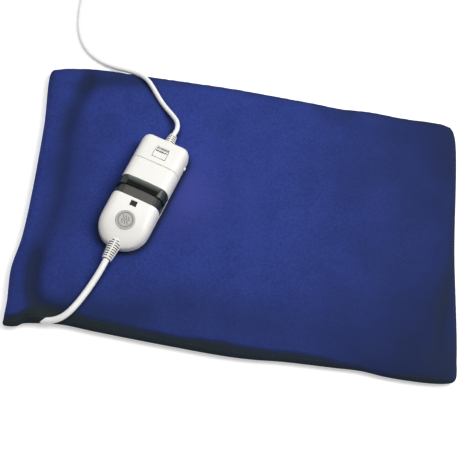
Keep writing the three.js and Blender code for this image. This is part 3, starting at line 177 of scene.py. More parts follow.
def drawn_metal(name, colour, rough, line_mm=0.25):
    """Drawn or rolled metal: fine lines along its length in the shine."""
    material, tree, place = start_finish(name, Base_Color=linear(colour), Metallic=1.0)
    along = add(tree, "ShaderNodeMapping", {"Vector": place, "Scale": (1.0, 0.06, 1.0)})
    lines = add(tree, "ShaderNodeTexNoise", {"Vector": along, "Scale": per_metre(line_mm), "Detail": 2.0})
    dull = add(tree, "ShaderNodeMapRange", {"Value": lines, "To Min": rough * 0.7, "To Max": rough * 1.3})
    relief = add(tree, "ShaderNodeBump", {"Height": lines, "Distance": 0.01 * MM})
    return finish(material, Roughness=dull, Normal=relief)


def loose_fibre(name, colour, fibre_mm=1.2, depth=0.5):
    """Loose or woven fibre seen close: soft, dull and slightly uneven in tone."""
    material, tree, place = start_finish(name, Roughness=0.95, IOR=1.5, Sheen_Weight=0.2)
    tint = mottled(tree, place, 3 * fibre_mm, shade(colour, 0.82), linear(colour), 4.0, 0.6)
    fibres = add(tree, "ShaderNodeTexNoise", {"Vector": place, "Scale": per_metre(fibre_mm), "Detail": 3.0,
        "Roughness": 0.6})
    relief = add(tree, "ShaderNodeBump", {"Height": fibres, "Distance": depth * MM})
    return finish(material, Base_Color=tint, Normal=relief)


def paint(material, *names):
    """Give CAD nodes whose shape is right their material."""
    for name in names:
        mesh = nodes[name].data
        mesh.materials.clear()
        mesh.materials.append(material)


MERGE_WITHIN = 0.002 * MM
FLAT_WITHIN, CREASE = math.radians(0.6), math.radians(34.0)
BODY_OF = {"heat_slider": "slider", "power_button": "button"}


def own_form(name, suffix, level=False):
    """A copy of a node's own form, its loose triangles merged and smooth over its curves."""
    work = bmesh.new()
    work.from_mesh(nodes[name].data)
    bmesh.ops.remove_doubles(work, verts=work.verts, dist=MERGE_WITHIN)
    if level:
        bmesh.ops.dissolve_limit(work, angle_limit=FLAT_WITHIN, verts=work.verts, edges=work.edges)
    mesh = bpy.data.meshes.new(name + suffix)
    work.to_mesh(mesh)
    work.free()
    mesh.polygons.foreach_set("use_smooth", [True] * len(mesh.polygons))
    return put(name + suffix, mesh)


def stand_for(made, name, material):
    """Give a piece its material and let it stand for a node: on its body, in its place."""
    made.data.materials.clear()
    made.data.materials.append(material)
    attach(made, BODY_OF.get(name, ROOT))
    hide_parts(name)


def with_broken_edges(material, *names, radius=0.22):
    """A node's own form with its edges broken as a mould leaves them, in the node's place."""
    for name in names:
        made = own_form(name, "_moulded", level=True)
        made.data.set_sharp_from_angle(angle=CREASE)
        bevel = made.modifiers.new("broken_edges", "BEVEL")
        bevel.width = radius * MM
        bevel.segments = 2
        bevel.angle_limit = CREASE
        bevel.miter_outer = "MITER_ARC"
        made.modifiers.new("even_shine", "WEIGHTED_NORMAL").keep_sharp = True
        stand_for(made, name, material)


def curve_points(points, closed=False, steps=12):
    """Centripetal Catmull-Rom through points, as the CAD source draws its routes."""
    source = [np.array(p, float) for p in points]
    count = len(source)
    result = []
    for i in range(count if closed else count - 1):
        if closed:
            p0, p1, p2, p3 = (source[(i + k) % count] for k in (-1, 0, 1, 2))
        else:
            p1, p2 = source[i], source[i + 1]
            p0 = source[i - 1] if i > 0 else 2 * p1 - p2
            p3 = source[i + 2] if i + 2 < count else 2 * p2 - p1
        d0, d1, d2 = (max(np.linalg.norm(b - a) ** 0.5, 1e-6) for a, b in ((p0, p1), (p1, p2), (p2, p3)))
        t1 = ((p1 - p0) / d0 - (p2 - p0) / (d0 + d1) + (p2 - p1) / d1) * d1
        t2 = ((p2 - p1) / d1 - (p3 - p1) / (d1 + d2) + (p3 - p2) / d2) * d1
        for k in range(steps):
            t = k / steps
            square, cube = -3 * p1 + 3 * p2 - 2 * t1 - t2, 2 * p1 - 2 * p2 + t1 + t2
            result.append(p1 + t1 * t + square * t ** 2 + cube * t ** 3)
    if not closed:
        result.append(source[-1])
    return result


# Cords. Their sizes, places and routes are the CAD's own, in millimetres
CORNER_X, CORNER_Y, FAR_Y = -225.0, -155.0, 155.0
CASE_PLACE = Vector((-121.3, -34.8, 13.8))
CASE_TURN = math.radians(-18.3)
PAD_LEAD, MAINS, GAP = 6.5, 5.0, 0.3
PAD_TIP, MAINS_TIP, RELIEF_HEIGHT = -41.8, 117, 9


def in_case(x, y, z):
    """A point of the controller's own frame, among the part's places."""
    return CASE_PLACE + Matrix.Rotation(CASE_TURN, 3, "Z") @ Vector((x, y, z))


def beyond_relief(tip, distance):
    """A point on a strain relief's axis, past its tip."""
    return tuple(in_case(0, tip + math.copysign(distance, tip), RELIEF_HEIGHT))


SLEEVE_MOUTH = Vector((CORNER_X + 33.4, CORNER_Y + 15.6, 6.9))
SLEEVE_AXIS = Vector((-0.95, 0.28, -0.12)).normalized()
pad_lead_route = [beyond_relief(PAD_TIP, GAP), beyond_relief(PAD_TIP, PAD_LEAD)] + [
    (CORNER_X + x, CORNER_Y + y, z) for x, y, z in (
        (86.4, 68.6, 22), (84, 62.9, 21), (81.4, 57.2, 20), (78.8, 51.6, 19.2), (76, 45.9, 18.4),
        (73, 40.3, 17.9), (69.9, 34.7, 17.3), (66.5, 29.3, 16.7), (62.7, 24.1, 15.8), (58.5, 20, 14.2),
        (53.3, 16.8, 12.1), (47.6, 14.9, 10.1), (41.7, 14.2, 8.5))
] + [tuple(SLEEVE_MOUTH - SLEEVE_AXIS * d) for d in (PAD_LEAD / 2, GAP)]

mains_route = [beyond_relief(MAINS_TIP, GAP), beyond_relief(MAINS_TIP, 2 * MAINS)] + [
    (CORNER_X + x, CORNER_Y + y, z) for x, y, z in (
        (142.3, 250.3, 20.9), (136.5, 259.1, 18.8), (129.4, 267.3, 17.3), (122.9, 275.5, 16.5))
] + [
    (CORNER_X + x, FAR_Y + y, z) for x, y, z in (
        (117.1, -26.1, 16.3), (111.6, -17.8, 16.2), (105.6, -10.2, 15.7), (98.4, -3.9, 13.5), (90, 0.8, 10.3),
        (80.8, 4.4, 7.1), (71.3, 7.1, 4.6), (61.8, 10.2, 3), (52.6, 13.6, 2.6), (44, 18.3, 2.6),
        (36.5, 24.4, 2.6), (30.3, 32, 2.6), (25.7, 40.6, 2.6), (22.6, 49.9, 2.6), (20.6, 59.6, 2.6),
        (19.6, 69.4, 2.6), (19.1, 79.2, 2.6), (19, 98.9, 2.6), (19, 118.5, 2.6), (19, 133, 3.2))
]

# The storage coil: two layers on its tie, its wraps a pitch apart. The cord comes to it along the lane
COIL_PITCH, COIL_INNER, TURNS_IN, TURNS_OUT = 5.6, 20.0, 3.5, 3.25
COIL_OUTER = COIL_INNER + COIL_PITCH * TURNS_IN
LANE_X, TIE_THICK = CORNER_X + 19, 0.8
COIL_X, COIL_Y = LANE_X + COIL_OUTER, FAR_Y + 153
COIL_LOW = TIE_THICK + GAP + MAINS / 2


def coil_points(per_turn=48):
    """The coil: in along its lower layer, up within half a turn, and out along its upper layer."""
    turns = TURNS_IN + 0.5 + TURNS_OUT
    points = []
    for k in range(round(turns * per_turn) + 1):
        turn = k / per_turn
        climb = min(max(turn - TURNS_IN, 0), 0.5)
        radius = COIL_OUTER - COIL_PITCH * min(turn, TURNS_IN) - COIL_PITCH * (climb - 2 * climb ** 2)
        radius += COIL_PITCH * max(turn - TURNS_IN - 0.5, 0)
        angle = math.pi - 2 * math.pi * turn
        height = COIL_LOW + COIL_PITCH * (1 - math.cos(2 * math.pi * climb)) / 2
        points.append((COIL_X + radius * math.cos(angle), COIL_Y + radius * math.sin(angle), height))
    return points


PLUG_PLACE = Vector((LANE_X + 144, COIL_Y + 22, 6.8))
PLUG_TURN, PLUG_LENGTH = math.radians(-98), 36
plug_back = Matrix.Rotation(PLUG_TURN, 3, "Z") @ Vector((0, -1, 0))


def mains_points():
    """The mains cord's whole path: from the case to the coil, round it, and on to the plug."""
    coil = coil_points()
    to_coil = [(LANE_X, COIL_Y - reach - GAP, COIL_LOW) for reach in (2 * MAINS, MAINS)]
    last = coil[-1]
    tail = [(last[0] + MAINS, last[1], last[2])] + [
        tuple(PLUG_PLACE + plug_back * (PLUG_LENGTH + GAP + reach)) for reach in (2 * MAINS, MAINS, 0)]
    return curve_points(mains_route + to_coil, steps=6) + coil + curve_points(tail, steps=10)


def cord_curve(name, points, diameter, material):
    """A round cord along points, as a curve of one open spline."""
    data = bpy.data.curves.new(name, "CURVE")
    data.dimensions = "3D"
    spline = data.splines.new("POLY")
    spline.points.add(len(points) - 1)
    for target, point in zip(spline.points, points):
        target.co = (point[0] * MM, point[1] * MM, point[2] * MM, 1)
    spline.use_smooth = True
    data.bevel_depth = diameter / 2 * MM
    data.bevel_resolution = 6
    data.use_fill_caps = True
    data.materials.append(material)
    made = put(name, data)
    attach(made, ROOT)
    return made


def cord_sheath(name, colour, line_mm):
    """Extruded soft vinyl: satin, a little light sinks in, with faint drag marks from the die."""
    material, tree, place = start_finish(name, IOR=1.53, Subsurface_Weight=0.08, Subsurface_Scale=0.0008,
        Subsurface_Radius=(1.0, 0.9, 0.8))
    tint = mottled(tree, place, 9, shade(colour, 0.94), linear(colour))
    drag = add(tree, "ShaderNodeTexNoise", {"Vector": place, "Scale": per_metre(line_mm), "Detail": 2.0})
    dull = add(tree, "ShaderNodeMapRange", {"Value": drag, "To Min": 0.3, "To Max": 0.48})
    relief = add(tree, "ShaderNodeBump", {"Height": drag, "Distance": 0.03 * MM})
    return finish(material, Base_Color=tint, Roughness=dull, Normal=relief)


# Plasticised PVC sheath, extruded: clean near-white satin
sheath = cord_sheath("vinyl_sheath", "F8F8F6", 1.2)
pad_cord = cord_curve("pad_cord", curve_points(pad_lead_route, steps=6), PAD_LEAD, sheath)
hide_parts("pad_lead")
mains_cord = cord_curve("mains_cord", mains_points(), MAINS, sheath)
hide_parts("mains_lead", "mains_coil", "mains_tail")


# Pad, in millimetres: its half size, its seam's height, and how high it swells within which distance
HALF_X, HALF_Y = 227.0, 155.0
SEAM, CROWN, REACH = 6.5, 7.0, 22.0
# Outline in shares of the half size: fuller than the solid's along the near edge and amid the far edge
OUTLINE = [
    (-0.93, -0.965), (-0.907, -0.943), (-0.846, -0.929), (-0.744, -0.918), (-0.6, -0.936), (-0.3, -0.968),
    (-0.02, -0.991), (0.1, -0.99), (0.22, -0.98), (0.444, -0.977), (0.568, -0.976), (0.67, -0.993),
    (0.749, -1), (0.885, -1), (0.965, -0.985), (0.991, -0.966), (1, -0.803),
    (0.991, -0.089), (0.991, 0.866), (0.974, 0.917), (0.925, 0.949), (0.722, 0.955), (0.568, 0.968),
    (0.419, 0.96), (0.317, 0.97), (-0.1, 0.998), (-0.423, 1), (-0.74, 1), (-0.811, 0.994), (-0.974, 0.943),
    (-0.987, 0.924), (-0.974, 0.471), (-0.978, -0.338), (-1, -0.586), (-0.991, -0.809), (-0.991, -0.924),
    (-0.987, -0.968),
]
# Long soft folds of the cover: points, depth and width in mm, and how dark the painted shade in and beside the
# fold is; folds of no depth are painted shade alone
FOLDS = [
    ([(-180, 200), (-184, 128), (-193, 96), (-197, 68), (-195, 30), (-194, -12), (-200, -50), (-208, -110)],
     2.3, 8.5, 0.31),
    ([(-178, 170), (-183, 128), (-193, 96), (-198, 50)], 0.0, 7.5, 0.27),
    ([(-201, -48), (-205, -90), (-203, -112), (-196, -126), (-180, -131), (-150, -128)], 2.6, 7.8, 0.7),
    ([(-178, 120), (-182, 60), (-184, 0), (-186, -60), (-188, -110)], 0.0, 18.0, 0.2),
    ([(-205, 112), (-181, 135), (-150, 142), (-100, 146)], 1.1, 9.0, 0.5),
    ([(226, 70), (225, 20), (222, -25), (213, -56), (208, -88), (204, -121), (198, -150)], 1.8, 5.5, 0.45),
    ([(54, 148), (78, 134), (91, 133), (118, 144)], 1.0, 6.0, 0.16),
    ([(-60, 150), (-42, 120), (-38, 60), (-44, 0)], 0.3, 14.0, 0.0),
    ([(150, -150), (128, -118), (60, -104), (-40, -108), (-110, -96)], 0.4, 16.0, 0.1),
    ([(-190, -120), (-150, -126), (-110, -128), (-70, -122)], 0.6, 15.0, 0.34),
    ([(-140, -118), (-60, -116), (30, -122), (110, -124)], 0.0, 20.0, 0.14),
]
# How wide the strip of painted shade is along the near edge: places along the pad and widths, in mm
NEAR_STRIP = [
    (-225, 8), (-208, 9), (-196, 15), (-165, 11.5), (-135, 7.5), (-60, 6), (-10, 8.5), (40, 7), (90, 4.7),
    (130, -1.5), (150, -2.5), (180, 1.8), (211, 1.5), (225, -4)]
# A dent by the lead's corner, and the lift of the cover over the lead's sleeve: height and reach in mm
DENT_X, DENT_Y, DENT_DEPTH, DENT_WIDTH = CORNER_X + 53, CORNER_Y + 16, 1.8, 12
LEAD_LIFT, LEAD_REACH_X, LEAD_REACH_Y = 3.2, 8.5, 6
# Gathers along the seam, swells of two sizes in the wadding that calm by the case, and wrinkles underneath
GATHERS_ROUND, GATHER_SIZE, GATHER_HEIGHT, GATHER_FADE = 60, 1.1, 0.6, 9
BROAD_SIZE, BROAD_HEIGHT, SMALL_SIZE, SMALL_HEIGHT, SWELL_REACH, CALM_WITHIN = 95, 0.4, 34, 0.15, 40, 14
WRINKLE_SIZE, WRINKLE_HEIGHT, WRINKLE_REACH = 50, 0.25, 30
# How steeply a fold and its shade begin at their ends, and how much wider than the fold its shade is
FOLD_STEEP, FOLD_SHADE_STEEP, FOLD_SHADE_WIDER = 4.5, 3.5, 1.25
# The controller's footprint in its own frame
HALF_CASE_X, HALF_CASE_Y, CASE_MIDDLE_Y, CASE_CORNER = 26.5, 65.5, 39, 8


def outline_sides(shares_x, shares_y):
    """The outline as four sides between its corners, resampled evenly, each along +X or +Y."""
    fine = np.array(curve_points(OUTLINE, closed=True, steps=24))
    middle = (fine.max(0) + fine.min(0)) / 2
    fine = (fine - middle) / (fine.max(0) - fine.min(0)) * (2 * HALF_X, 2 * HALF_Y)
    corners = [int(np.argmin(np.hypot(*(fine - np.array(c) * (HALF_X, HALF_Y)).T)))
               for c in ((-1, -1), (1, -1), (1, 1), (-1, 1))]
    sides = []
    for k, shares in enumerate((shares_x, shares_y, shares_x, shares_y)):
        a, b = corners[k], corners[(k + 1) % 4]
        run = fine[a:b + 1] if b > a else np.vstack([fine[a:], fine[:b + 1]])
        travel = np.concatenate([[0], np.cumsum(np.hypot(*np.diff(run, axis=0).T))])
        spots = shares if k < 2 else 1 - shares
        sides.append(np.stack([np.interp(spots * travel[-1], travel, run[:, i]) for i in (0, 1)], 1))
    return sides


def edge_shares(half, step, near):
    """Shares from 0 to 1, close together near both ends and even between them."""
    inner = np.array(near) / (2 * half)
    even = np.linspace(near[-1] / (2 * half), 0.5, max(int((half - near[-1]) / step), 2))[1:]
    low = np.concatenate([inner, even])
    return np.concatenate([low, 1 - low[::-1][1:]])


def polyline_distance(x, y, points):
    """Distance to a polyline, and how far along it, both as arrays."""
    best = np.full(x.shape, 1e9)
    along = np.zeros(x.shape)
    path = np.array(points, float)
    lengths = np.concatenate([[0], np.cumsum(np.hypot(*np.diff(path, axis=0).T))])
    for i in range(len(path) - 1):
        way = path[i + 1] - path[i]
        t = np.clip(((x - path[i][0]) * way[0] + (y - path[i][1]) * way[1]) / (way @ way), 0, 1)
        gap = np.hypot(x - path[i][0] - t * way[0], y - path[i][1] - t * way[1])
        nearer = gap < best
        best = np.where(nearer, gap, best)
        along = np.where(nearer, (lengths[i] + t * np.hypot(*way)) / lengths[-1], along)
    return best, along


def bell(away, width):
    """1 at nought, falling away smoothly on both sides."""
    return np.exp(-(away / width) ** 2)


def ramp(value, start, end):
    """0 up to start, 1 from end on, and straight between them."""
    return np.clip((value - start) / (end - start), 0, 1)


def eased(share):
    """A share from 0 to 1 that starts and ends softly."""
    return share * share * (3 - 2 * share)


def soft_ends(along, steep):
    """1 along a fold's middle, falling smoothly to nought at both its ends."""
    return eased(np.clip(np.minimum(along, 1 - along) * steep, 0, 1))


def smooth_noise(x, y, size, seed):
    """Noise from -1 to 1 with blobs of about size mm, at each point."""
    flat = [noise.noise(Vector((a / size, b / size, seed))) for a, b in zip(x.ravel(), y.ravel())]
    return np.clip(np.array(flat).reshape(x.shape) * 1.6, -1, 1)


def bulge(inset, reach):
    """The height of a stuffed edge, from 0 at the seam to 1 at reach from it."""
    left = 1 - np.minimum(inset / reach, 1)
    return np.sqrt(np.maximum(1 - left ** 2.2, 0))


def beside_case(x, y):
    """Distance in mm from the controller's footprint, half round at its nose, nought under it."""
    cosine, sine = math.cos(CASE_TURN), math.sin(CASE_TURN)
    across = (x - CASE_PLACE.x) * cosine + (y - CASE_PLACE.y) * sine
    along = (y - CASE_PLACE.y) * cosine - (x - CASE_PLACE.x) * sine
    corner = np.where(along < CASE_MIDDLE_Y, HALF_CASE_X, CASE_CORNER)
    gap = np.hypot(np.maximum(np.abs(across) - HALF_CASE_X + corner, 0),
        np.maximum(np.abs(along - CASE_MIDDLE_Y) - HALF_CASE_Y + corner, 0))
    return np.maximum(gap - corner, 0)


def cover_plan(us, vs):
    """The cover's plan on a grid of shares, spanned between the outline's four sides."""
    low, right, high, left = outline_sides(us, vs)
    u, v = np.meshgrid(us, vs, indexing="ij")
    plan = []
    for i in (0, 1):
        across = (1 - v) * low[:, i][:, None] + v * high[:, i][:, None]
        upward = (1 - u) * left[:, i][None, :] + u * right[:, i][None, :]
        corner = ((1 - u) * (1 - v) * low[0, i] + u * (1 - v) * low[-1, i] + (1 - u) * v * high[0, i]
                  + u * v * high[-1, i])
        plan.append(across + upward - corner)
    return plan


def cover_sheets(step, near):
    """The stuffed cover on a grid of shares: its plan, top, underside and distance from the seam."""
    us, vs = edge_shares(HALF_X, step, near), edge_shares(HALF_Y, step, near)
    x, y = cover_plan(us, vs)
    u, v = np.meshgrid(us, vs, indexing="ij")
    gap_x = np.minimum(u, 1 - u) * 2 * HALF_X
    gap_y = np.minimum(v, 1 - v) * 2 * HALF_Y
    inset = 1 / ((np.maximum(gap_x, 1e-6) ** -3 + np.maximum(gap_y, 1e-6) ** -3) ** (1 / 3))
    rim = (gap_x == 0) | (gap_y == 0)
    inset[rim] = 0
    swell = bulge(inset, REACH)
    calm = ramp(beside_case(x, y), 0, CALM_WITHIN)
    around = np.arctan2(y / HALF_Y, x / HALF_X) * GATHERS_ROUND
    gathers = smooth_noise(around, inset * 0.4, GATHER_SIZE, seed=3) * np.exp(-inset / GATHER_FADE)
    broad = smooth_noise(x, y, BROAD_SIZE, seed=5) * BROAD_HEIGHT
    broad += smooth_noise(x, y, SMALL_SIZE, seed=9) * SMALL_HEIGHT
    top = SEAM + CROWN * swell + gathers * bulge(inset, 3) * GATHER_HEIGHT
    top += broad * bulge(inset, SWELL_REACH) * calm
    sunk = np.zeros_like(top)
    for points, depth, width, _ in FOLDS:
        away, along = polyline_distance(x, y, points)
        sunk = np.maximum(sunk, depth * bell(away, width) * soft_ends(along, FOLD_STEEP))
    top -= sunk * swell
    top -= DENT_DEPTH * bell(np.hypot(x - DENT_X, y - DENT_Y), DENT_WIDTH) * swell
    over_lead = np.hypot((x - SLEEVE_MOUTH.x + 3) / LEAD_REACH_X, (y - SLEEVE_MOUTH.y) / LEAD_REACH_Y)
    top += LEAD_LIFT * np.exp(-over_lead ** 2.5) * bulge(inset, 4)
    wrinkle = np.maximum(smooth_noise(x, y, WRINKLE_SIZE, seed=14), 0) * WRINKLE_HEIGHT
    base = SEAM * (1 - bulge(inset, 9)) + wrinkle * bulge(inset, WRINKLE_REACH)
    top[rim] = base[rim] = SEAM
    return us, vs, x, y, top, base, inset


def cover_mesh(x, y, top, base):
    """One closed skin: the top and the underside share the seam's points."""
    rim = np.ones(x.shape, bool)
    rim[1:-1, 1:-1] = False
    top_index = np.arange(x.size).reshape(x.shape)
    under_index = np.where(rim, top_index, 0)
    under_index[~rim] = x.size + np.arange((~rim).sum())
    vertices = np.vstack([np.stack([x, y, top], -1).reshape(-1, 3),
                          np.stack([x[~rim], y[~rim], base[~rim]], -1)])
    here, after = slice(0, -1), slice(1, None)
    corners = [(here, here), (after, here), (after, after), (here, after)]
    upper = np.stack([top_index[c] for c in corners], -1).reshape(-1, 4)
    lower = np.stack([under_index[c] for c in corners[::-1]], -1).reshape(-1, 4)
    return vertices * MM, np.vstack([upper, lower]).tolist()


# The cover's grids, in mm: their steps, and where their first rows lie from the seam
FINE_STEP, NEAR_SEAM = 2.4, [0, 0.35, 0.9, 1.8, 3, 4.6, 6.6, 9, 11.8]
COARSE_STEP, NEAR_SEAM_COARSE = 6.5, [0, 3, 7.5, 13]
# The cloth: how fast the wadding holds it, how far round the case it is pressed down, and its caps, in mm
WADDING_HOLD, PRESSED_WITHIN = 0.2, 16
MOST_SWELL, MOST_SINK = 1.5, 0.3
CLOTH_FRAMES = 20
CLOTH = {"quality": 4, "mass": 0.05, "tension_stiffness": 8, "compression_stiffness": 8, "shear_stiffness": 3,
         "bending_stiffness": 10, "use_pressure": True, "uniform_pressure_force": 4, "shrink_min": -0.004,
         "vertex_group_mass": "held"}


def blown_up():
    """How far, in mm, air pressure moves a coarse copy of the top, sewn at its seam, held by the wadding."""
    us, vs, x, y, top, base, inset = cover_sheets(COARSE_STEP, NEAR_SEAM_COARSE)
    vertices, faces = cover_mesh(x, y, top, base)
    mesh = bpy.data.meshes.new("cover_cloth")
    mesh.from_pydata(vertices.tolist(), [], faces)
    sewn = put("cover_cloth", mesh)
    held = sewn.vertex_groups.new(name="held")
    firm = np.clip(1 - beside_case(x, y) / PRESSED_WITHIN, WADDING_HOLD, 1)
    firm[inset < 1] = 1
    for index, weight in enumerate(firm.ravel()):
        held.add([index], float(weight), "REPLACE")
    held.add(list(range(x.size, len(vertices))), 1.0, "REPLACE")
    cloth = sewn.modifiers.new("cloth", "CLOTH")
    for key, value in CLOTH.items():
        setattr(cloth.settings, key, value)
    cloth.settings.effector_weights.gravity = 0
    cloth.collision_settings.use_collision = False
    cloth.collision_settings.use_self_collision = False
    for frame_number in range(1, CLOTH_FRAMES + 1):
        scene.frame_set(frame_number)
    blown = sewn.evaluated_get(bpy.context.evaluated_depsgraph_get()).data
    after = np.empty(len(vertices) * 3)
    blown.vertices.foreach_get("co", after)
    moved = (after.reshape(-1, 3) - vertices)[:x.size] / MM
    scene.frame_set(1)
    bpy.data.objects.remove(sewn)
    bpy.data.meshes.remove(mesh)
    moved *= MOST_SWELL / max(np.abs(moved[:, 2]).max(), MOST_SWELL)
    moved[:, 2] = np.maximum(moved[:, 2], -MOST_SINK)
    return us, vs, moved.reshape(x.shape + (3,))


def on_finer_grid(us, vs, values, fine_us, fine_vs):
    """Values on a coarse grid of shares, carried over to a finer one."""
    along = np.stack([np.interp(fine_us, us, row) for row in values.T], 0)
    return np.stack([np.interp(fine_vs, vs, column) for column in along.T], 0)


# How much painted shade darkens the fleece, as shares: at the right end and amid it, on the near side and more
# at its right, in the near strip, along the far seam, and as painted shadow close to the case, round it and
# beside the cords
DARK_RIGHT, LESS_AMID, DARK_NEAR, MORE_AT_RIGHT = 0.6, 0.14, 0.2, 0.16
DARK_STRIP, DARK_FAR_SEAM, DARK_AT_CASE, DARK_ROUND_CASE, DARK_AT_CORD = 0.94, 0.36, 0.68, 0.25, 0.5
# In mm: where the right shade starts, where the near one starts and is full, and how soon the others fade
RIGHT_FROM, NEAR_FROM, NEAR_TO, STRIP_FADE, SEAM_FADE = 30, -60, -145, 6, 9
CASE_FADE, ROUND_CASE_FADE, CORD_SIDE, CORD_FADE = 3, 7, 2.5, 2.6
# Painted dimming: the share of light taken off the whole fleece, but not in a painted pool of light round this
# place or along the left end
PAINTED_DIM, LIT_POOL_X, LIT_POOL_Y, LIT_POOL_REACH = 0.1, -62, 60, 62
# A paler, more violet patch of the fleece: the place, how far round it, and how much at most
PALE_PATCH_X, PALE_PATCH_Y, PALE_PATCH_REACH, PALE_PATCH_MOST = -72, 16, 40, 0.7


def painted_fleece_shade(x, y, inset, near_gap):
    """Painted shade and painted shadow on the fleece, from 0 to 1."""
    light = np.ones(x.shape)
    # Painted shade in and beside the folds
    for points, _, width, dark in FOLDS:
        away, along = polyline_distance(x, y, points)
        light *= 1 - dark * bell(away, FOLD_SHADE_WIDER * width) * soft_ends(along, FOLD_SHADE_STEEP)
    # Painted shade falling off towards the right end and the near side
    to_right = (DARK_RIGHT - LESS_AMID * bell(y - 5, 50)) * ramp(x, RIGHT_FROM, HALF_X) ** 1.15
    to_near = (DARK_NEAR + MORE_AT_RIGHT * ramp(x, 80, 160)) * ramp(y, NEAR_FROM, NEAR_TO)
    light *= (1 - to_right) * (1 - to_near)
    # Painted dimming all over, but for a painted pool of light and the left end
    lit_pool = bell(np.hypot(x - LIT_POOL_X, (y - LIT_POOL_Y) * 0.8), LIT_POOL_REACH)
    left_rim = bell(np.maximum(inset - 3, 0), 9) * ramp(x, -190, -200)
    light *= 1 - PAINTED_DIM + PAINTED_DIM * np.maximum(lit_pool, left_rim)
    # Painted shade along the near edge
    strip = np.interp(x, *zip(*NEAR_STRIP)) + smooth_noise(x, y, 30, seed=4) * 1.5
    light *= 1 - DARK_STRIP * eased(ramp(strip - near_gap, -STRIP_FADE, 0))
    # Painted shade along the far seam
    light *= 1 - DARK_FAR_SEAM * bell(inset, SEAM_FADE) * ramp(y, 90, 140)
    # Painted shadow close beside the case and round it
    beside = beside_case(x, y)
    light *= 1 - DARK_AT_CASE * bell(beside, CASE_FADE)
    light *= 1 - DARK_ROUND_CASE * bell(beside, ROUND_CASE_FADE)
    # Painted shadow beside the cords
    for route in (pad_lead_route, mains_route):
        away, _ = polyline_distance(x, y, [point[:2] for point in route])
        light *= 1 - DARK_AT_CORD * bell(np.maximum(away - CORD_SIDE, 0), CORD_FADE)
    return np.clip(1 - light + smooth_noise(x, y, 42, seed=21) * 0.05, 0, 1)


# Royal blue: deep and bright in the grain, paler and more violet in one patch, and darkened by painted shade
# to a half shade and a full shade
FLEECE_DEEP, FLEECE_BRIGHT, FLEECE_PALE_PATCH = "263577", "384796", "444894"
FLEECE_HALF_SHADE, FLEECE_SHADE = "222C52", "252D30"
# The painted shade darkens the blue to the half shade up to this share, and on to the full shade beyond it
HALF_SHADE_TO = 0.6


def fleece():
    """Short-pile polyester fleece, dyed royal blue: a fine pile grain, clumped fibres, a cloudy tone, a paler
    and more violet patch, painted shade read from an attribute, and a faint velvet glow at grazing angles. The
    pile is drawn at 0.9 mm and its clumps at 2.2 mm, coarser than they are."""
    material, tree, place = start_finish(
        "polyester_fleece", Roughness=0.95, IOR=1.5, Specular_IOR_Level=0.08, Sheen_Weight=0.08,
        Sheen_Roughness=0.5, Sheen_Tint=linear("4A5CB8"))
    marks, levels = [], []
    for size_mm, detail, rough, low, high in ((0.9, 4.0, 0.65, -0.3, 0.3), (2.2, 1.0, 0.5, -0.27, 0.27),
                                              (22, 4.0, 0.6, 0.38, 0.66)):
        marks.append(add(tree, "ShaderNodeTexNoise", {"Vector": place, "Scale": per_metre(size_mm),
            "Detail": detail, "Roughness": rough}))
        levels.append(add(tree, "ShaderNodeMapRange", NOISE_SPAN | {"Value": marks[-1], "To Min": low,
            "To Max": high}))
    uneven = add(tree, "ShaderNodeMath", {0: levels[0], 1: levels[1]})
    tone = add(tree, "ShaderNodeMath", {0: uneven, 1: levels[2]}, operation="ADD", use_clamp=True)
    colour = add(tree, "ShaderNodeMix", {FACTOR: tone, COLOUR_A: linear(FLEECE_DEEP),
        COLOUR_B: linear(FLEECE_BRIGHT)}, data_type="RGBA")
    pale_share, shade_share = (add(tree, "ShaderNodeAttribute", attribute_name=label).outputs["Fac"]
                   for label in ("pale_patch_share", "painted_shade"))
    half_shaded = add(tree, "ShaderNodeMapRange", {"Value": shade_share, "From Max": HALF_SHADE_TO})
    flat = add(tree, "ShaderNodeMapRange", {"Value": shade_share, "From Min": HALF_SHADE_TO})
    # Mix in the paler patch, then the painted half shade and the painted full shade
    for share, code in ((pale_share, FLEECE_PALE_PATCH), (half_shaded, FLEECE_HALF_SHADE), (flat, FLEECE_SHADE)):
        colour = add(tree, "ShaderNodeMix", {FACTOR: share, COLOUR_A: colour, COLOUR_B: linear(code)},
            data_type="RGBA")
    fine = add(tree, "ShaderNodeTexNoise", {"Vector": place, "Scale": per_metre(0.45), "Detail": 2.0})
    under = add(tree, "ShaderNodeBump", {"Height": fine, "Distance": 0.18 * MM, "Strength": 0.5})
    relief = add(tree, "ShaderNodeBump", {"Height": marks[0], "Distance": 0.35 * MM, "Strength": 0.6,
        "Normal": under})
    return finish(material, Base_Color=colour, Normal=relief)


def make_pad():
    """The fleece cover as one closed skin that holds its painted shade and its paler patch, and its top on its
    grid.
    """
    us, vs, x, y, top, base, inset = cover_sheets(FINE_STEP, NEAR_SEAM)
    coarse_us, coarse_vs, moved = blown_up()
    across, upward, lift = (on_finer_grid(coarse_us, coarse_vs, moved[..., k], us, vs) for k in range(3))
    x, y, top = x + across * 0.5, y + upward * 0.5, top + lift
    top = np.where(beside_case(x, y) < 1, np.minimum(top, SEAM + CROWN), top)
    vertices, faces = cover_mesh(x, y, top, base)
    mesh = bpy.data.meshes.new("pad_cover")
    mesh.from_pydata(vertices.tolist(), [], faces)
    mesh.update()
    mesh.materials.append(fleece())
    mesh.polygons.foreach_set("use_smooth", [True] * len(mesh.polygons))
    pale_share = PALE_PATCH_MOST * bell(np.hypot(x - PALE_PATCH_X, y - PALE_PATCH_Y), PALE_PATCH_REACH)
    shade_share = painted_fleece_shade(x, y, inset, vs[None, :] * 2 * HALF_Y)
    for label, values in (("painted_shade", shade_share), ("pale_patch_share", pale_share)):
        both_sides = np.concatenate([values.ravel(), values[1:-1, 1:-1].ravel()]).astype(np.float32)
        mesh.attributes.new(label, "FLOAT", "POINT").data.foreach_set("value", both_sides)
    cover = put("pad_cover", mesh)
    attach(cover, ROOT)
    return cover, np.stack([x, y, top], -1)


pad_cover, pad_top = make_pad()
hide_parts("pad_cover_top", "pad_cover_bottom")


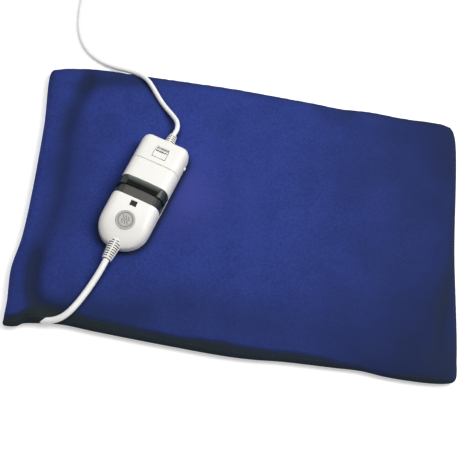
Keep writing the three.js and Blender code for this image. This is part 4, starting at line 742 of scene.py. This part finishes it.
# Pieces that repeat or follow a path, grown by node trees
def start_tree(name, sizes):
    """A node tree with a geometry input and output and a named input for each size or count."""
    tree = bpy.data.node_groups.new(name, "GeometryNodeTree")
    tree.interface.new_socket("Geometry", in_out="INPUT", socket_type="NodeSocketGeometry")
    for label, value in sizes.items():
        kind = "NodeSocketInt" if isinstance(value, int) else "NodeSocketFloat"
        tree.interface.new_socket(label, in_out="INPUT", socket_type=kind)
    tree.interface.new_socket("Geometry", in_out="OUTPUT", socket_type="NodeSocketGeometry")
    return tree, add(tree, "NodeGroupInput").outputs


def end_tree(tree, geometry, material):
    """Realize what the tree made and give it its finish."""
    real = add(tree, "GeometryNodeRealizeInstances", {"Geometry": geometry})
    made = add(tree, "GeometryNodeSetMaterial", {"Geometry": real, "Material": material})
    add(tree, "NodeGroupOutput", {"Geometry": made})


def grown(name, tree, sizes, carrier_mesh, place=None, body=ROOT):
    """Run a tree on a carrier mesh and keep its result as a plain mesh that rides on a body."""
    carrier = put(name + "_carrier", carrier_mesh)
    modifier = carrier.modifiers.new("grow", "NODES")
    modifier.node_group = tree
    for item in tree.interface.items_tree:
        if item.in_out == "INPUT" and item.name in sizes:
            modifier[item.identifier] = sizes[item.name]
    mesh = bpy.data.meshes.new_from_object(carrier.evaluated_get(bpy.context.evaluated_depsgraph_get()))
    bpy.data.objects.remove(carrier)
    if place:
        mesh.transform(place)
    mesh.name = name
    made = put(name, mesh)
    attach(made, body)


def path_mesh(name, points, ups):
    """A closed path of edges in metres, with the way that is up from the cloth at each point."""
    mesh = bpy.data.meshes.new(name)
    mesh.from_pydata([tuple(p) for p in points], [(i, (i + 1) % len(points)) for i in range(len(points))], [])
    mesh.attributes.new("up", "FLOAT_VECTOR", "POINT").data.foreach_set("vector", np.asarray(ups).ravel())
    return mesh


def stitch_tree(sizes, material):
    """Arched threads set along a path, each leaning with the cloth under it."""
    tree, given = start_tree("seam_stitches", sizes)
    path = add(tree, "GeometryNodeMeshToCurve", {"Mesh": given["Geometry"]})
    spots = add(tree, "GeometryNodeCurveToPoints", {"Curve": path, "Length": given["Pitch"]}, mode="LENGTH")
    half = add(tree, "ShaderNodeMath", {0: given["Stitch length"], 1: 0.5}, operation="MULTIPLY")
    back = add(tree, "ShaderNodeMath", {0: half, 1: -1.0}, operation="MULTIPLY")
    dip, rise = (add(tree, "ShaderNodeMath", {0: given["Thread radius"], 1: times}, operation="MULTIPLY")
                 for times in (-1.0, 2.2))
    start, middle, end = (add(tree, "ShaderNodeCombineXYZ", {"X": reach, "Z": height})
                          for reach, height in ((back, dip), (0.0, rise), (half, dip)))
    arch = add(tree, "GeometryNodeCurveQuadraticBezier", {"Resolution": 4, "Start": start, "Middle": middle,
        "End": end})
    round_thread = add(tree, "GeometryNodeCurvePrimitiveCircle",
        {"Resolution": 5, "Radius": given["Thread radius"]})
    thread = add(tree, "GeometryNodeCurveToMesh", {"Curve": arch, "Profile Curve": round_thread,
        "Fill Caps": True})
    up = add(tree, "GeometryNodeInputNamedAttribute", {"Name": "up"}, data_type="FLOAT_VECTOR")
    lean = add(tree, "FunctionNodeAlignRotationToVector", {"Vector": up}, axis="Z")
    turned = add(tree, "FunctionNodeAlignRotationToVector", {"Rotation": lean,
        "Vector": spots.outputs["Tangent"]}, axis="X", pivot_axis="Z")
    threads = add(tree, "GeometryNodeInstanceOnPoints", {"Points": spots, "Instance": thread,
        "Rotation": turned})
    end_tree(tree, threads, material)
    return tree


def seam_loop(row):
    """The points and upward directions of the pad's top along one row of the grid, in metres."""
    last_x, last_y = pad_top.shape[0] - 1, pad_top.shape[1] - 1
    far_x, far_y = last_x - row, last_y - row
    walk = [(i, row) for i in range(row, far_x)] + [(far_x, j) for j in range(row, far_y)]
    walk += [(i, far_y) for i in range(far_x, row, -1)] + [(row, j) for j in range(far_y, row, -1)]
    points, ups = [], []
    for i, j in walk:
        across = pad_top[min(i + 1, last_x), j] - pad_top[max(i - 1, 0), j]
        upward = pad_top[i, min(j + 1, last_y)] - pad_top[i, max(j - 1, 0)]
        up = np.cross(across, upward)
        points.append(pad_top[i, j] * MM)
        ups.append(up / max(np.linalg.norm(up), 1e-9))
    return points, ups


def printed_marks(name, colour):
    """Pad-printed ink: thin, even and dull."""
    return moulded(name, colour, 0.55, skin_mm=0.3, skin_depth=0.004)


def block(tree, given, *sides):
    """A small block whose three sides are named inputs."""
    size = add(tree, "ShaderNodeCombineXYZ", {axis: given[side] for axis, side in zip("XYZ", sides)})
    return add(tree, "GeometryNodeMeshCube", {"Size": size})


def emblem_tree(sizes, material):
    """A ring of short radial ticks round three rising wavy lines, the common sign for warmth."""
    tree, given = start_tree("warmth_emblem", sizes)
    ring = add(tree, "GeometryNodeCurvePrimitiveCircle", {"Resolution": 96, "Radius": given["Ring radius"]})
    spots = add(tree, "GeometryNodeCurveToPoints", {"Curve": ring, "Count": given["Ticks"]}, mode="COUNT")
    face = add(tree, "FunctionNodeAlignRotationToVector", {"Vector": spots.outputs["Tangent"]}, axis="Y",
               pivot_axis="Z")
    tick = block(tree, given, "Tick length", "Ink width", "Ink height")
    ticks = add(tree, "GeometryNodeInstanceOnPoints", {"Points": spots, "Instance": tick, "Rotation": face})
    span = add(tree, "GeometryNodeCurvePrimitiveLine", {"Start": (0.0, -WAVE_REACH, 0.0),
        "End": (0.0, WAVE_REACH, 0.0)})
    fine = add(tree, "GeometryNodeResampleCurve", {"Curve": span, "Count": 22})
    height = add(tree, "ShaderNodeSeparateXYZ", {"Vector": add(tree, "GeometryNodeInputPosition")})
    angle = add(tree, "ShaderNodeMath", {0: height.outputs["Y"], 1: given["Wave number"]},
                operation="MULTIPLY")
    wave = add(tree, "ShaderNodeMath", {0: angle}, operation="SINE")
    sway = add(tree, "ShaderNodeMath", {0: wave, 1: given["Wave height"]}, operation="MULTIPLY")
    shift = add(tree, "ShaderNodeCombineXYZ", {"X": sway})
    wavy = add(tree, "GeometryNodeSetPosition", {"Geometry": fine, "Offset": shift})
    nib = add(tree, "GeometryNodeCurvePrimitiveQuadrilateral", {"Width": given["Ink width"],
        "Height": given["Ink height"]})
    line = add(tree, "GeometryNodeCurveToMesh", {"Curve": wavy, "Profile Curve": nib, "Fill Caps": True})
    gap = add(tree, "ShaderNodeCombineXYZ", {"X": given["Line gap"]})
    left = add(tree, "ShaderNodeMath", {0: given["Line gap"], 1: -1.0}, operation="MULTIPLY")
    first = add(tree, "ShaderNodeCombineXYZ", {"X": left})
    places = add(tree, "GeometryNodeMeshLine", {"Count": 3, "Start Location": first, "Offset": gap},
        mode="OFFSET")
    lines = add(tree, "GeometryNodeInstanceOnPoints", {"Points": places, "Instance": line})
    both = add(tree, "GeometryNodeJoinGeometry")
    for part in (ticks, lines):
        feed(tree, both.inputs[0], part)
    end_tree(tree, both, material)
    return tree


def scale_tree(sizes, material):
    """A row of short printed bars of uneven width, set by a fixed seed, that say nothing."""
    tree, given = start_tree("scale_bars", sizes)
    row = add(tree, "GeometryNodeMeshGrid", {"Size X": given["Row length"], "Size Y": 0.0,
        "Vertices X": given["Bars"], "Vertices Y": 1})
    bar = block(tree, given, "Bar width", "Bar height", "Ink height")
    wide = add(tree, "FunctionNodeRandomValue", {"Min": (0.45, 0.8, 1.0), "Max": (1.25, 1.0, 1.0),
        "Seed": given["Seed"]}, data_type="FLOAT_VECTOR")
    bars = add(tree, "GeometryNodeInstanceOnPoints", {"Points": row, "Instance": bar, "Scale": wide})
    end_tree(tree, bars, material)
    return tree


# The grid's row that the stitches follow, half a printed wave's length in metres, and the disc's face
STITCH_ROW, WAVE_REACH = 5, 0.0042
EMBLEM_TILT, EMBLEM_TOP = math.radians(13.5), 22.4


def dress_seam():
    """Bonded polyester thread, a shade darker than the cloth, that holds the two covers together."""
    sizes = {"Pitch": 0.0034, "Stitch length": 0.0026, "Thread radius": 0.00028}
    thread = loose_fibre("polyester_thread", "171C2E", 0.3, 0.05)
    path = path_mesh("seam_path", *seam_loop(STITCH_ROW))
    grown("seam_stitches", stitch_tree(sizes, thread), sizes, path)


def on_case(x, y, z, tilt=0.0):
    """The place of a flat mark on the controller: case frame millimetres, tilted about its width."""
    turn = Matrix.Rotation(CASE_TURN, 4, "Z")
    lean = Matrix.Rotation(tilt, 4, "X")
    return Matrix.Translation(in_case(x, y, z) * MM) @ turn @ lean


def dress_controller():
    """The prints: a plain warmth sign on the disc, and rows of plain bars on marker plate and button."""
    sizes = {"Ring radius": 0.0077, "Ticks": 40, "Tick length": 0.0021, "Ink width": 0.0006,
             "Ink height": 0.00016, "Wave number": 1350.0, "Wave height": 0.0008, "Line gap": 0.0028}
    emblem = emblem_tree(sizes, printed_marks("grey_ink", "5A5956"))
    blank = bpy.data.meshes.new("print_carrier")
    grown("emblem_print", emblem, sizes, blank, on_case(0, 0, EMBLEM_TOP, EMBLEM_TILT))
    sizes = {"Row length": 0.0112, "Bars": 8, "Bar width": 0.00145, "Bar height": 0.0013,
             "Ink height": 0.00012, "Seed": 7}
    bars = scale_tree(sizes, printed_marks("black_ink", "242322"))
    for name, carrier, y, body in (("marker_print", "marker_plate", 88.2, ROOT),
                                   ("button_print", "power_button", 84.3, "button")):
        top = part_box(carrier)[1][2] / MM - CASE_PLACE.z
        grown(name, bars, sizes | {"Seed": int(y)}, blank, on_case(0.6, y, top), body)


dress_seam()
dress_controller()

# Controller. Its reliefs in its own frame, in mm: where each is widest, and its radii there and at its tip.
# The one on the pad side flares wider here than its solid does
PAD_ROOT, PAD_SOLID_RADIUS, PAD_FLARE, PAD_TIP_RADIUS = -20, 6.25, 7.3, 4.8
MAINS_ROOT, MAINS_ROOT_RADIUS, MAINS_TIP_RADIUS = 104.5, 6, 3.9
CASE_HALFWAY = 40
# How far below the ribs the painted shade and dust in a slot start and end, and the edges of the grip's dish
SLOT_FROM, SLOT_TO = 0.35, 0.75
DISH_OUT_Y, DISH_IN_Y, DISH_OUT_X, DISH_IN_X = 41.9, 41.2, 18.5, 16.5


def case_axes(tree):
    """The place on a piece along the controller's own three axes, in metres."""
    back = Matrix.Rotation(-CASE_TURN, 3, "Z")
    place = add(tree, "ShaderNodeTexCoord").outputs["Object"]
    turned = add(tree, "ShaderNodeMapping", {"Vector": place, "Location": -(back @ CASE_PLACE) * MM,
        "Rotation": (0, 0, -CASE_TURN)})
    return add(tree, "ShaderNodeSeparateXYZ", {"Vector": turned}).outputs


def relief_pvc(name, colour, slot_colour):
    """Soft PVC moulded over the cord: satin ribs, and slots below their surface painted darker with painted
    shade and dust.
    """
    material = moulded(name, colour, 0.42, 1.53)
    tree = material.node_tree
    spot = case_axes(tree)
    lift = add(tree, "ShaderNodeMath", {0: spot["Z"], 1: RELIEF_HEIGHT * MM}, operation="SUBTRACT")
    flat = add(tree, "ShaderNodeCombineXYZ", {"X": spot["X"], "Y": lift})
    out = add(tree, "ShaderNodeVectorMath", {0: flat}, operation="LENGTH")
    ends = ((PAD_TIP, PAD_ROOT, PAD_TIP_RADIUS, PAD_FLARE),
            (MAINS_ROOT, MAINS_TIP, MAINS_ROOT_RADIUS, MAINS_TIP_RADIUS))
    pad_end, mains_end = (
        add(tree, "ShaderNodeMapRange", {"Value": spot["Y"], "From Min": low * MM, "From Max": high * MM,
            "To Min": low_radius * MM, "To Max": high_radius * MM})
        for low, high, low_radius, high_radius in ends)
    far = add(tree, "ShaderNodeMath", {0: spot["Y"], 1: CASE_HALFWAY * MM}, operation="GREATER_THAN")
    rib = add(tree, "ShaderNodeMix", {FACTOR: far, LEVEL_A: pad_end, LEVEL_B: mains_end})
    # Painted shade and dust in the slots, below the ribs' surface
    sunk = add(tree, "ShaderNodeMath", {0: rib, 1: out}, operation="SUBTRACT")
    slot = add(tree, "ShaderNodeMapRange", {"Value": sunk, "From Min": SLOT_FROM * MM,
        "From Max": SLOT_TO * MM})
    slot_dust_and_shade = add(tree, "ShaderNodeMix", {FACTOR: slot, COLOUR_A: fed_by(material, "Base Color"),
        COLOUR_B: linear(slot_colour)}, data_type="RGBA")
    return finish(material, Base_Color=slot_dust_and_shade)


# Injection-moulded ABS with a gloss tool finish: clean white, a clear soft highlight along each crown
shell_white = moulded("gloss_abs_white", "F3F1EB", 0.34, skin_depth=0.003, coat=0.05)
with_broken_edges(shell_white, "base_shell", "end_cover", "middle_cover", "lower_cover", "power_button")
paint(shell_white, "detent_rack", "lead_splice")
# Flexible PVC, moulded over the cord: a little greyer and duller than the shell
soft_pvc = moulded("moulded_pvc", "ECEBE6", 0.42, 1.53)
with_broken_edges(soft_pvc, "plug_body", radius=0.5)
paint(soft_pvc, "lead_entry_sleeve")
# The same PVC where it is ribbed, with painted shade and dust in its slots
ribbed_pvc = relief_pvc("moulded_pvc_relief", "ECEBE6", "77726A")
with_broken_edges(ribbed_pvc, "pad_relief", "mains_relief", radius=0.12)


def flare_relief():
    """Widen the pad-side relief towards the case, round its own axis."""
    back = Matrix.Rotation(-CASE_TURN, 3, "Z")
    for vertex in bpy.data.objects["pad_relief_moulded"].data.vertices:
        spot = back @ (vertex.co / MM - CASE_PLACE)
        share = ramp(spot.y, PAD_TIP, PAD_ROOT)
        flared, solid = (PAD_TIP_RADIUS + (radius - PAD_TIP_RADIUS) * share
                         for radius in (PAD_FLARE, PAD_SOLID_RADIUS))
        wider = flared / solid
        vertex.co = in_case(spot.x * wider, spot.y, RELIEF_HEIGHT + (spot.z - RELIEF_HEIGHT) * wider) * MM


flare_relief()


def thumb_grip(name, colour, side_colour, dish_colour):
    """Near-black ABS: the ridge's middle paler as a painted highlight, and the sunken dish near black as
    painted shade, rougher and with less shine.
    """
    material = moulded(name, colour, 0.36, 1.42, skin_depth=0.002)
    tree = material.node_tree
    spot = case_axes(tree)
    low = add(tree, "ShaderNodeMapRange", {"Value": spot["Y"], "From Min": DISH_OUT_Y * MM,
        "From Max": DISH_IN_Y * MM})
    side = add(tree, "ShaderNodeMath", {0: spot["X"]}, operation="ABSOLUTE")
    middle = add(tree, "ShaderNodeMapRange", {"Value": side, "From Min": DISH_OUT_X * MM,
        "From Max": DISH_IN_X * MM})
    dish = add(tree, "ShaderNodeMath", {0: low, 1: middle}, operation="MULTIPLY")
    # Painted highlight on the ridge's middle; painted shade in the dish
    ridge = add(tree, "ShaderNodeMix", {FACTOR: middle, COLOUR_A: linear(side_colour),
        COLOUR_B: fed_by(material, "Base Color")}, data_type="RGBA")
    both = add(tree, "ShaderNodeMix", {FACTOR: dish, COLOUR_A: ridge, COLOUR_B: linear(dish_colour)},
               data_type="RGBA")
    dull = add(tree, "ShaderNodeMix", {FACTOR: dish, LEVEL_A: fed_by(material, "Roughness"), LEVEL_B: 0.62})
    gleam = add(tree, "ShaderNodeMix", {FACTOR: dish, LEVEL_A: 0.5, LEVEL_B: 0.12})
    return finish(material, Base_Color=both, Roughness=dull, Specular_IOR_Level=gleam)


# Smoke-grey ABS plate behind the slider: warm grey, half matt
with_broken_edges(moulded("smoke_grey_abs", "35322B", 0.5, skin_depth=0.01), "track_plate", radius=0.12)
# Near-black green-grey ABS frame, polished
frame_abs = moulded("polished_abs_frame", "202826", 0.34, 1.42, skin_depth=0.002)
with_broken_edges(frame_abs, "slider_track", radius=0.2)
# The slider's grip, the same ABS, with a painted highlight on its ridge and painted shade in its dish
with_broken_edges(thumb_grip("thumb_grip_abs", "545C5A", "1E2624", "0C0E0E"), "heat_slider", radius=0.45)
# Smoked acrylic: almost black, glass-smooth
lens_acrylic = moulded("smoked_acrylic", "050506", 0.16, 1.3, skin_depth=0.001)
with_broken_edges(lens_acrylic, "window_lens", radius=0.12)
# Satin light-grey ABS disc
with_broken_edges(moulded("satin_grey_abs", "BDBCB8", 0.4), "emblem_disc", radius=0.12)
# Satin ivory ABS plate
with_broken_edges(moulded("satin_ivory_abs", "DEDDD7", 0.4), "marker_plate", radius=0.12)
# Unfilled grey nylon, as moulded
paint(moulded("grey_nylon", "9C9C99", 0.5, 1.53), "contact_carriage", "mains_terminal", "pad_terminal")
# Black nylon, as moulded
paint(moulded("black_nylon", "1C1C1E", 0.5, 1.53), "level_strip", "push_switch", "rectifier",
      "heat_limiter_1", "heat_limiter_2", "coil_tie")
# Glass-epoxy board under green solder mask
paint(moulded("solder_mask_green", "2F6B3C", 0.55, 1.55), "circuit_board")
# Silicone-rubber insulation, extruded, cream
paint(moulded("silicone_insulation", "DCD7C8", 0.55, 1.41), "heating_wire", "mains_core_1", "mains_core_2",
      "pad_core_1", "pad_core_2")
# Bright nickel-plated steel, drawn
nickel = drawn_metal("nickel_plated_steel", "C4C6C8", 0.3)
paint(nickel, "detent_spring", "fuse", "plug_pin_1", "plug_pin_2", *(f"case_screw_{i}" for i in range(1, 7)))


def yielding_spring(name):
    """A coil spring in the CAD's own form, merged and smooth, with a mesh of its own."""
    made = own_form(name, "_coil")
    stand_for(made, name, nickel)
    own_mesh(made)


yielding_spring("button_spring")
# Rolled brass strip
paint(drawn_metal("rolled_brass", "C8A24C", 0.3), "contact_wiper", "fuse_clip_1", "fuse_clip_2")
# Bonded polyester wadding
paint(loose_fibre("polyester_wadding", "E8E6DF"), "wadding_top", "wadding_bottom")
# Woven cotton carrier cloth, 0.6 mm threads
paint(loose_fibre("woven_heater_cloth", "F0ECE0", 0.6, 0.2), "heater_cloth")


# Floor, light and picture
FLOOR_HALF, FLOOR_DROP = 4, 0.0003
PLAIN_WHITE = (1, 1, 1, 1)


def seen_by_eye(tree):
    """1 for what the camera sees, straight or in metal or glass."""
    path = add(tree, "ShaderNodeLightPath").outputs
    mirrored = add(tree, "ShaderNodeMath", {0: path["Is Camera Ray"], 1: path["Is Glossy Ray"]},
        operation="MAXIMUM")
    return add(tree, "ShaderNodeMath", {0: mirrored, 1: path["Is Transmission Ray"]}, operation="MAXIMUM")


def stage_floor():
    """White sweep of paper: white to the eye, also far from the lamps, with the object's shadow on it."""
    mesh = bpy.data.meshes.new("floor")
    corners = [(x * FLOOR_HALF, y * FLOOR_HALF, -FLOOR_DROP) for x, y in ((-1, -1), (1, -1), (1, 1), (-1, 1))]
    mesh.from_pydata(corners, [], [(0, 1, 2, 3)])
    floor = put("floor", mesh)
    material, tree, place = start_finish("floor_paper", Roughness=0.9, Specular_IOR_Level=0.1,
        Emission_Color=PLAIN_WHITE)
    tint = mottled(tree, place, 1.5, (0.8, 0.8, 0.8, 1), (0.84, 0.84, 0.84, 1), 2.0)
    away = add(tree, "ShaderNodeVectorMath", {0: place}, operation="LENGTH")
    level = add(tree, "ShaderNodeMapRange", {"Value": away, "From Min": 0.5, "From Max": 1.4, "To Min": 0.42,
        "To Max": 0.9})
    glow = add(tree, "ShaderNodeMath", {0: seen_by_eye(tree), 1: level}, operation="MULTIPLY")
    mesh.materials.append(finish(material, Base_Color=tint, Emission_Strength=glow))


def area_light(name, place, power, target=(-0.05, 0.0, 0.0), size=0.8):
    """A square soft lamp that looks at the middle of the pad."""
    data = bpy.data.lights.new(name, "AREA")
    data.size = size
    data.energy = power
    made = put(name, data)
    made.location = place
    made.rotation_euler = (Vector(target) - Vector(place)).to_track_quat("-Z", "Y").to_euler()


def set_world(strength):
    """Even light from all round, and plain white behind everything."""
    world = bpy.data.worlds.new("world")
    scene.world = world
    world.use_nodes = True
    tree = world.node_tree
    level = add(tree, "ShaderNodeMapRange", {"Value": seen_by_eye(tree), "To Min": strength, "To Max": 1.0})
    back = tree.nodes["Background"]
    feed(tree, back.inputs["Color"], PLAIN_WHITE)
    feed(tree, back.inputs["Strength"], level)


stage_floor()
set_world(0.34)
area_light("left_key", (-0.4, 0.4, 1.5), 5.0)
area_light("right_key", (0.8, 0.22, 1.3), 16.5)
scene.view_settings.view_transform = "Standard"
